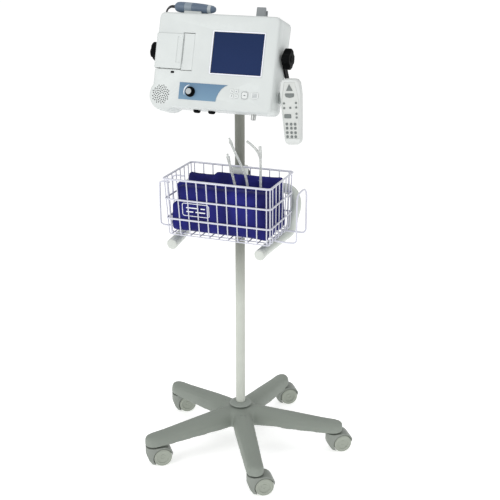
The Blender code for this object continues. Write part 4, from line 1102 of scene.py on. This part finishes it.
piece("cuff_label_frame", cuff_stripe(dense(rounded(-78, -9, 705, 737, 5.0), 3.0), 1.5, True),
      "stand", mark_white)
LABEL_BARS = ((-68, -36, 726), (-30, -19, 726), (-68, -50, 716), (-44, -19, 716))
for n, (x0, x1, z) in enumerate(LABEL_BARS):
    bars = dense([(x0, z), (x1, z)], 3.0, False)
    piece(f"cuff_label_bar_{n}", cuff_stripe(bars, 2.6, False), "stand", mark_white)


# ---------------------------------------------------------------- probe and handset details

PROBE_DIP = radians(91.8)
axle = (FACE_FRAME @ Matrix.Translation(Vector((-75, 30, 127.8)) * MM)
        @ Matrix.Rotation(PROBE_DIP, 4, "Y"))
PROBE = (
    ("probe_tail", probe_blue, (),
     [(2.6, -51.0), (3.9, -50.6), (6.4, -49.9), (9.0, -47.8), (11.0, -44.6), (12.1, -40.0),
      (12.5, -35.0), (12.5, -24.5), (12.2, -24.0), (0.0, -24.0)]),
    ("probe_grip", probe_band, ("doppler_probe",),
     [(12.1, -23.7), (12.6, -23.2), (12.5, -12.0), (12.3, -5.5), (11.9, -5.0), (0.0, -5.0)]),
    ("probe_front", probe_blue, (),
     [(11.8, -4.7), (12.2, -4.2), (12.0, 5.0), (11.2, 22.0), (10.3, 33.0), (9.9, 33.6),
      (0.0, 33.6)]),
    ("probe_ring", probe_tip, (),
     [(9.6, 33.9), (10.1, 34.3), (9.4, 42.0), (9.0, 42.5), (0.0, 42.5)]),
    ("probe_nose", probe_blue, (),
     [(8.8, 42.8), (8.9, 43.2), (7.9, 47.0), (5.7, 51.0), (3.0, 52.7), (1.0, 53.0)]),
)
for name, material, replaced, profile in PROBE:
    bm = bmesh.new()
    profile = [(0.0, profile[0][1])] + profile
    if profile[-1][0] > 0:
        profile.append((0.0, profile[-1][1]))
    lathe_mm(bm, profile, axle, 56)
    piece(name, bm, "doppler_probe", material, replaced, angle=28)
for side in range(-3, 4):
    bm = bmesh.new()
    turned = radians(side * 17)
    rib = [axle @ (Vector((-sin(turned) * r, -cos(turned) * r, z)) * MM)
           for r, z in ((12.15, -2.0), (12.25, 4.0), (11.7, 14.0), (11.1, 23.0), (10.6, 28.0))]
    sweep(bm, rib, 0.5 * MM, 8)
    piece(f"probe_rib_{side + 4}", bm, "doppler_probe", probe_blue, angle=60)

# Cable boot at the probe's tail
bm = bmesh.new()
boot = smooth([(-125.6, 30, 129.5), (-129, 30, 129.6), (-133, 30, 129.6), (-138, 30.6, 129),
               (-143.5, 33.5, 126.8)], 2.0)
sweep(bm, [fc(*p) for p in boot], 0.001, 16, girth=[3.9 - 0.13 * i for i in range(len(boot))])
piece("probe_boot", bm, "doppler_probe", cable_black, angle=60)

# Handset: a pale pad with grey keys
bm = bmesh.new()
pad = ((-16, -61), (16, -61), (20, 26), (12, 67), (-12, 67), (-20, 26))
slab(bm, [tuple(p) for p in pad], REMOTE_FRAME, -10.5, -9.4)
piece("handset_pad", bm, "remote", remote_pad, ("remote_keypad",))
bm = bmesh.new()
keys = [[(-8.8, 48), (6.8, 48), (-1, 63)],
        [(-12, 39), (-11, 42.1), (9, 42.1), (10, 39), (8, 34), (-1, 32.2), (-10, 34)],
        rounded(-16.3, 0.1, -14.2, -4.8, 1.8)]
keys += [centred(x, z, 2.3, 2.3, 1.6)
         for x, z in ((-15.5, 19.6), (-15.5, 8.8), (13.1, 20.7), (13.1, 10.5),
                      (13.1, -3.9), (13.1, -12.4), (-1, 9.7))]
keys += [centred(x, z, 2.8, 3, 1.8)
         for z in (-27.7, -37, -47.3, -56.6) for x in (-11.2, -1, 8.5)]
for key in keys:
    middle = Vector((sum(x for x, _ in key), sum(z for _, z in key))) / len(key)
    inner = [tuple(middle + (Vector(p) - middle) * 0.86) for p in key]
    slab(bm, key, REMOTE_FRAME, -11.5, -10.2)
    slab(bm, inner, REMOTE_FRAME, -11.9, -11.45)
piece("handset_keys", bm, "remote", remote_grey)


# ---------------------------------------------------------------- floor and light

def stage_look():
    look = Look("floor_pale", (0.93, 0.93, 0.93), 0.9)
    look.base(look.blend(look.span(look.noise(0.8), 0.0, 1.0), (0.925, 0.925, 0.925),
                         (0.935, 0.935, 0.935)))
    look.put("Emission Color", (1.0, 1.0, 1.0, 1.0))
    look.put("Emission Strength", 0.5)
    return look.material


mesh = bpy.data.meshes.new("floor")
mesh.from_pydata([(-20, -20, -0.0002), (20, -20, -0.0002), (20, 20, -0.0002), (-20, 20, -0.0002)], [],
                 [(0, 1, 2, 3)])
mesh.materials.append(stage_look())
floor = linked("floor", mesh)


def area(name, place, target, size, power, colour=(1, 1, 1)):
    data = bpy.data.lights.new(name, "AREA")
    data.shape = "RECTANGLE"
    data.size, data.size_y = size
    data.energy = power
    data.color = colour
    lamp = linked(name, data)
    lamp.location = place
    lamp.rotation_euler = (Vector(target) - Vector(place)).to_track_quat("-Z", "Y").to_euler()


area("key_light", (-1.5, -2.6, 2.3), (0, 0, 0.7), (2.0, 2.0), 35.0)
area("fill_light", (2.6, -0.9, 1.5), (0, 0, 0.8), (1.6, 1.6), 7.0)
area("top_light", (0.3, 0.6, 3.2), (0, 0, 0.5), (2.4, 2.4), 14.0)

world = bpy.data.worlds.new("studio")
SCENE.world = world
world.use_nodes = True
world.node_tree.nodes["Background"].inputs["Color"].default_value = (1.0, 1.0, 1.0, 1.0)
world.node_tree.nodes["Background"].inputs["Strength"].default_value = 0.58
SCENE.view_settings.view_transform = "Standard"
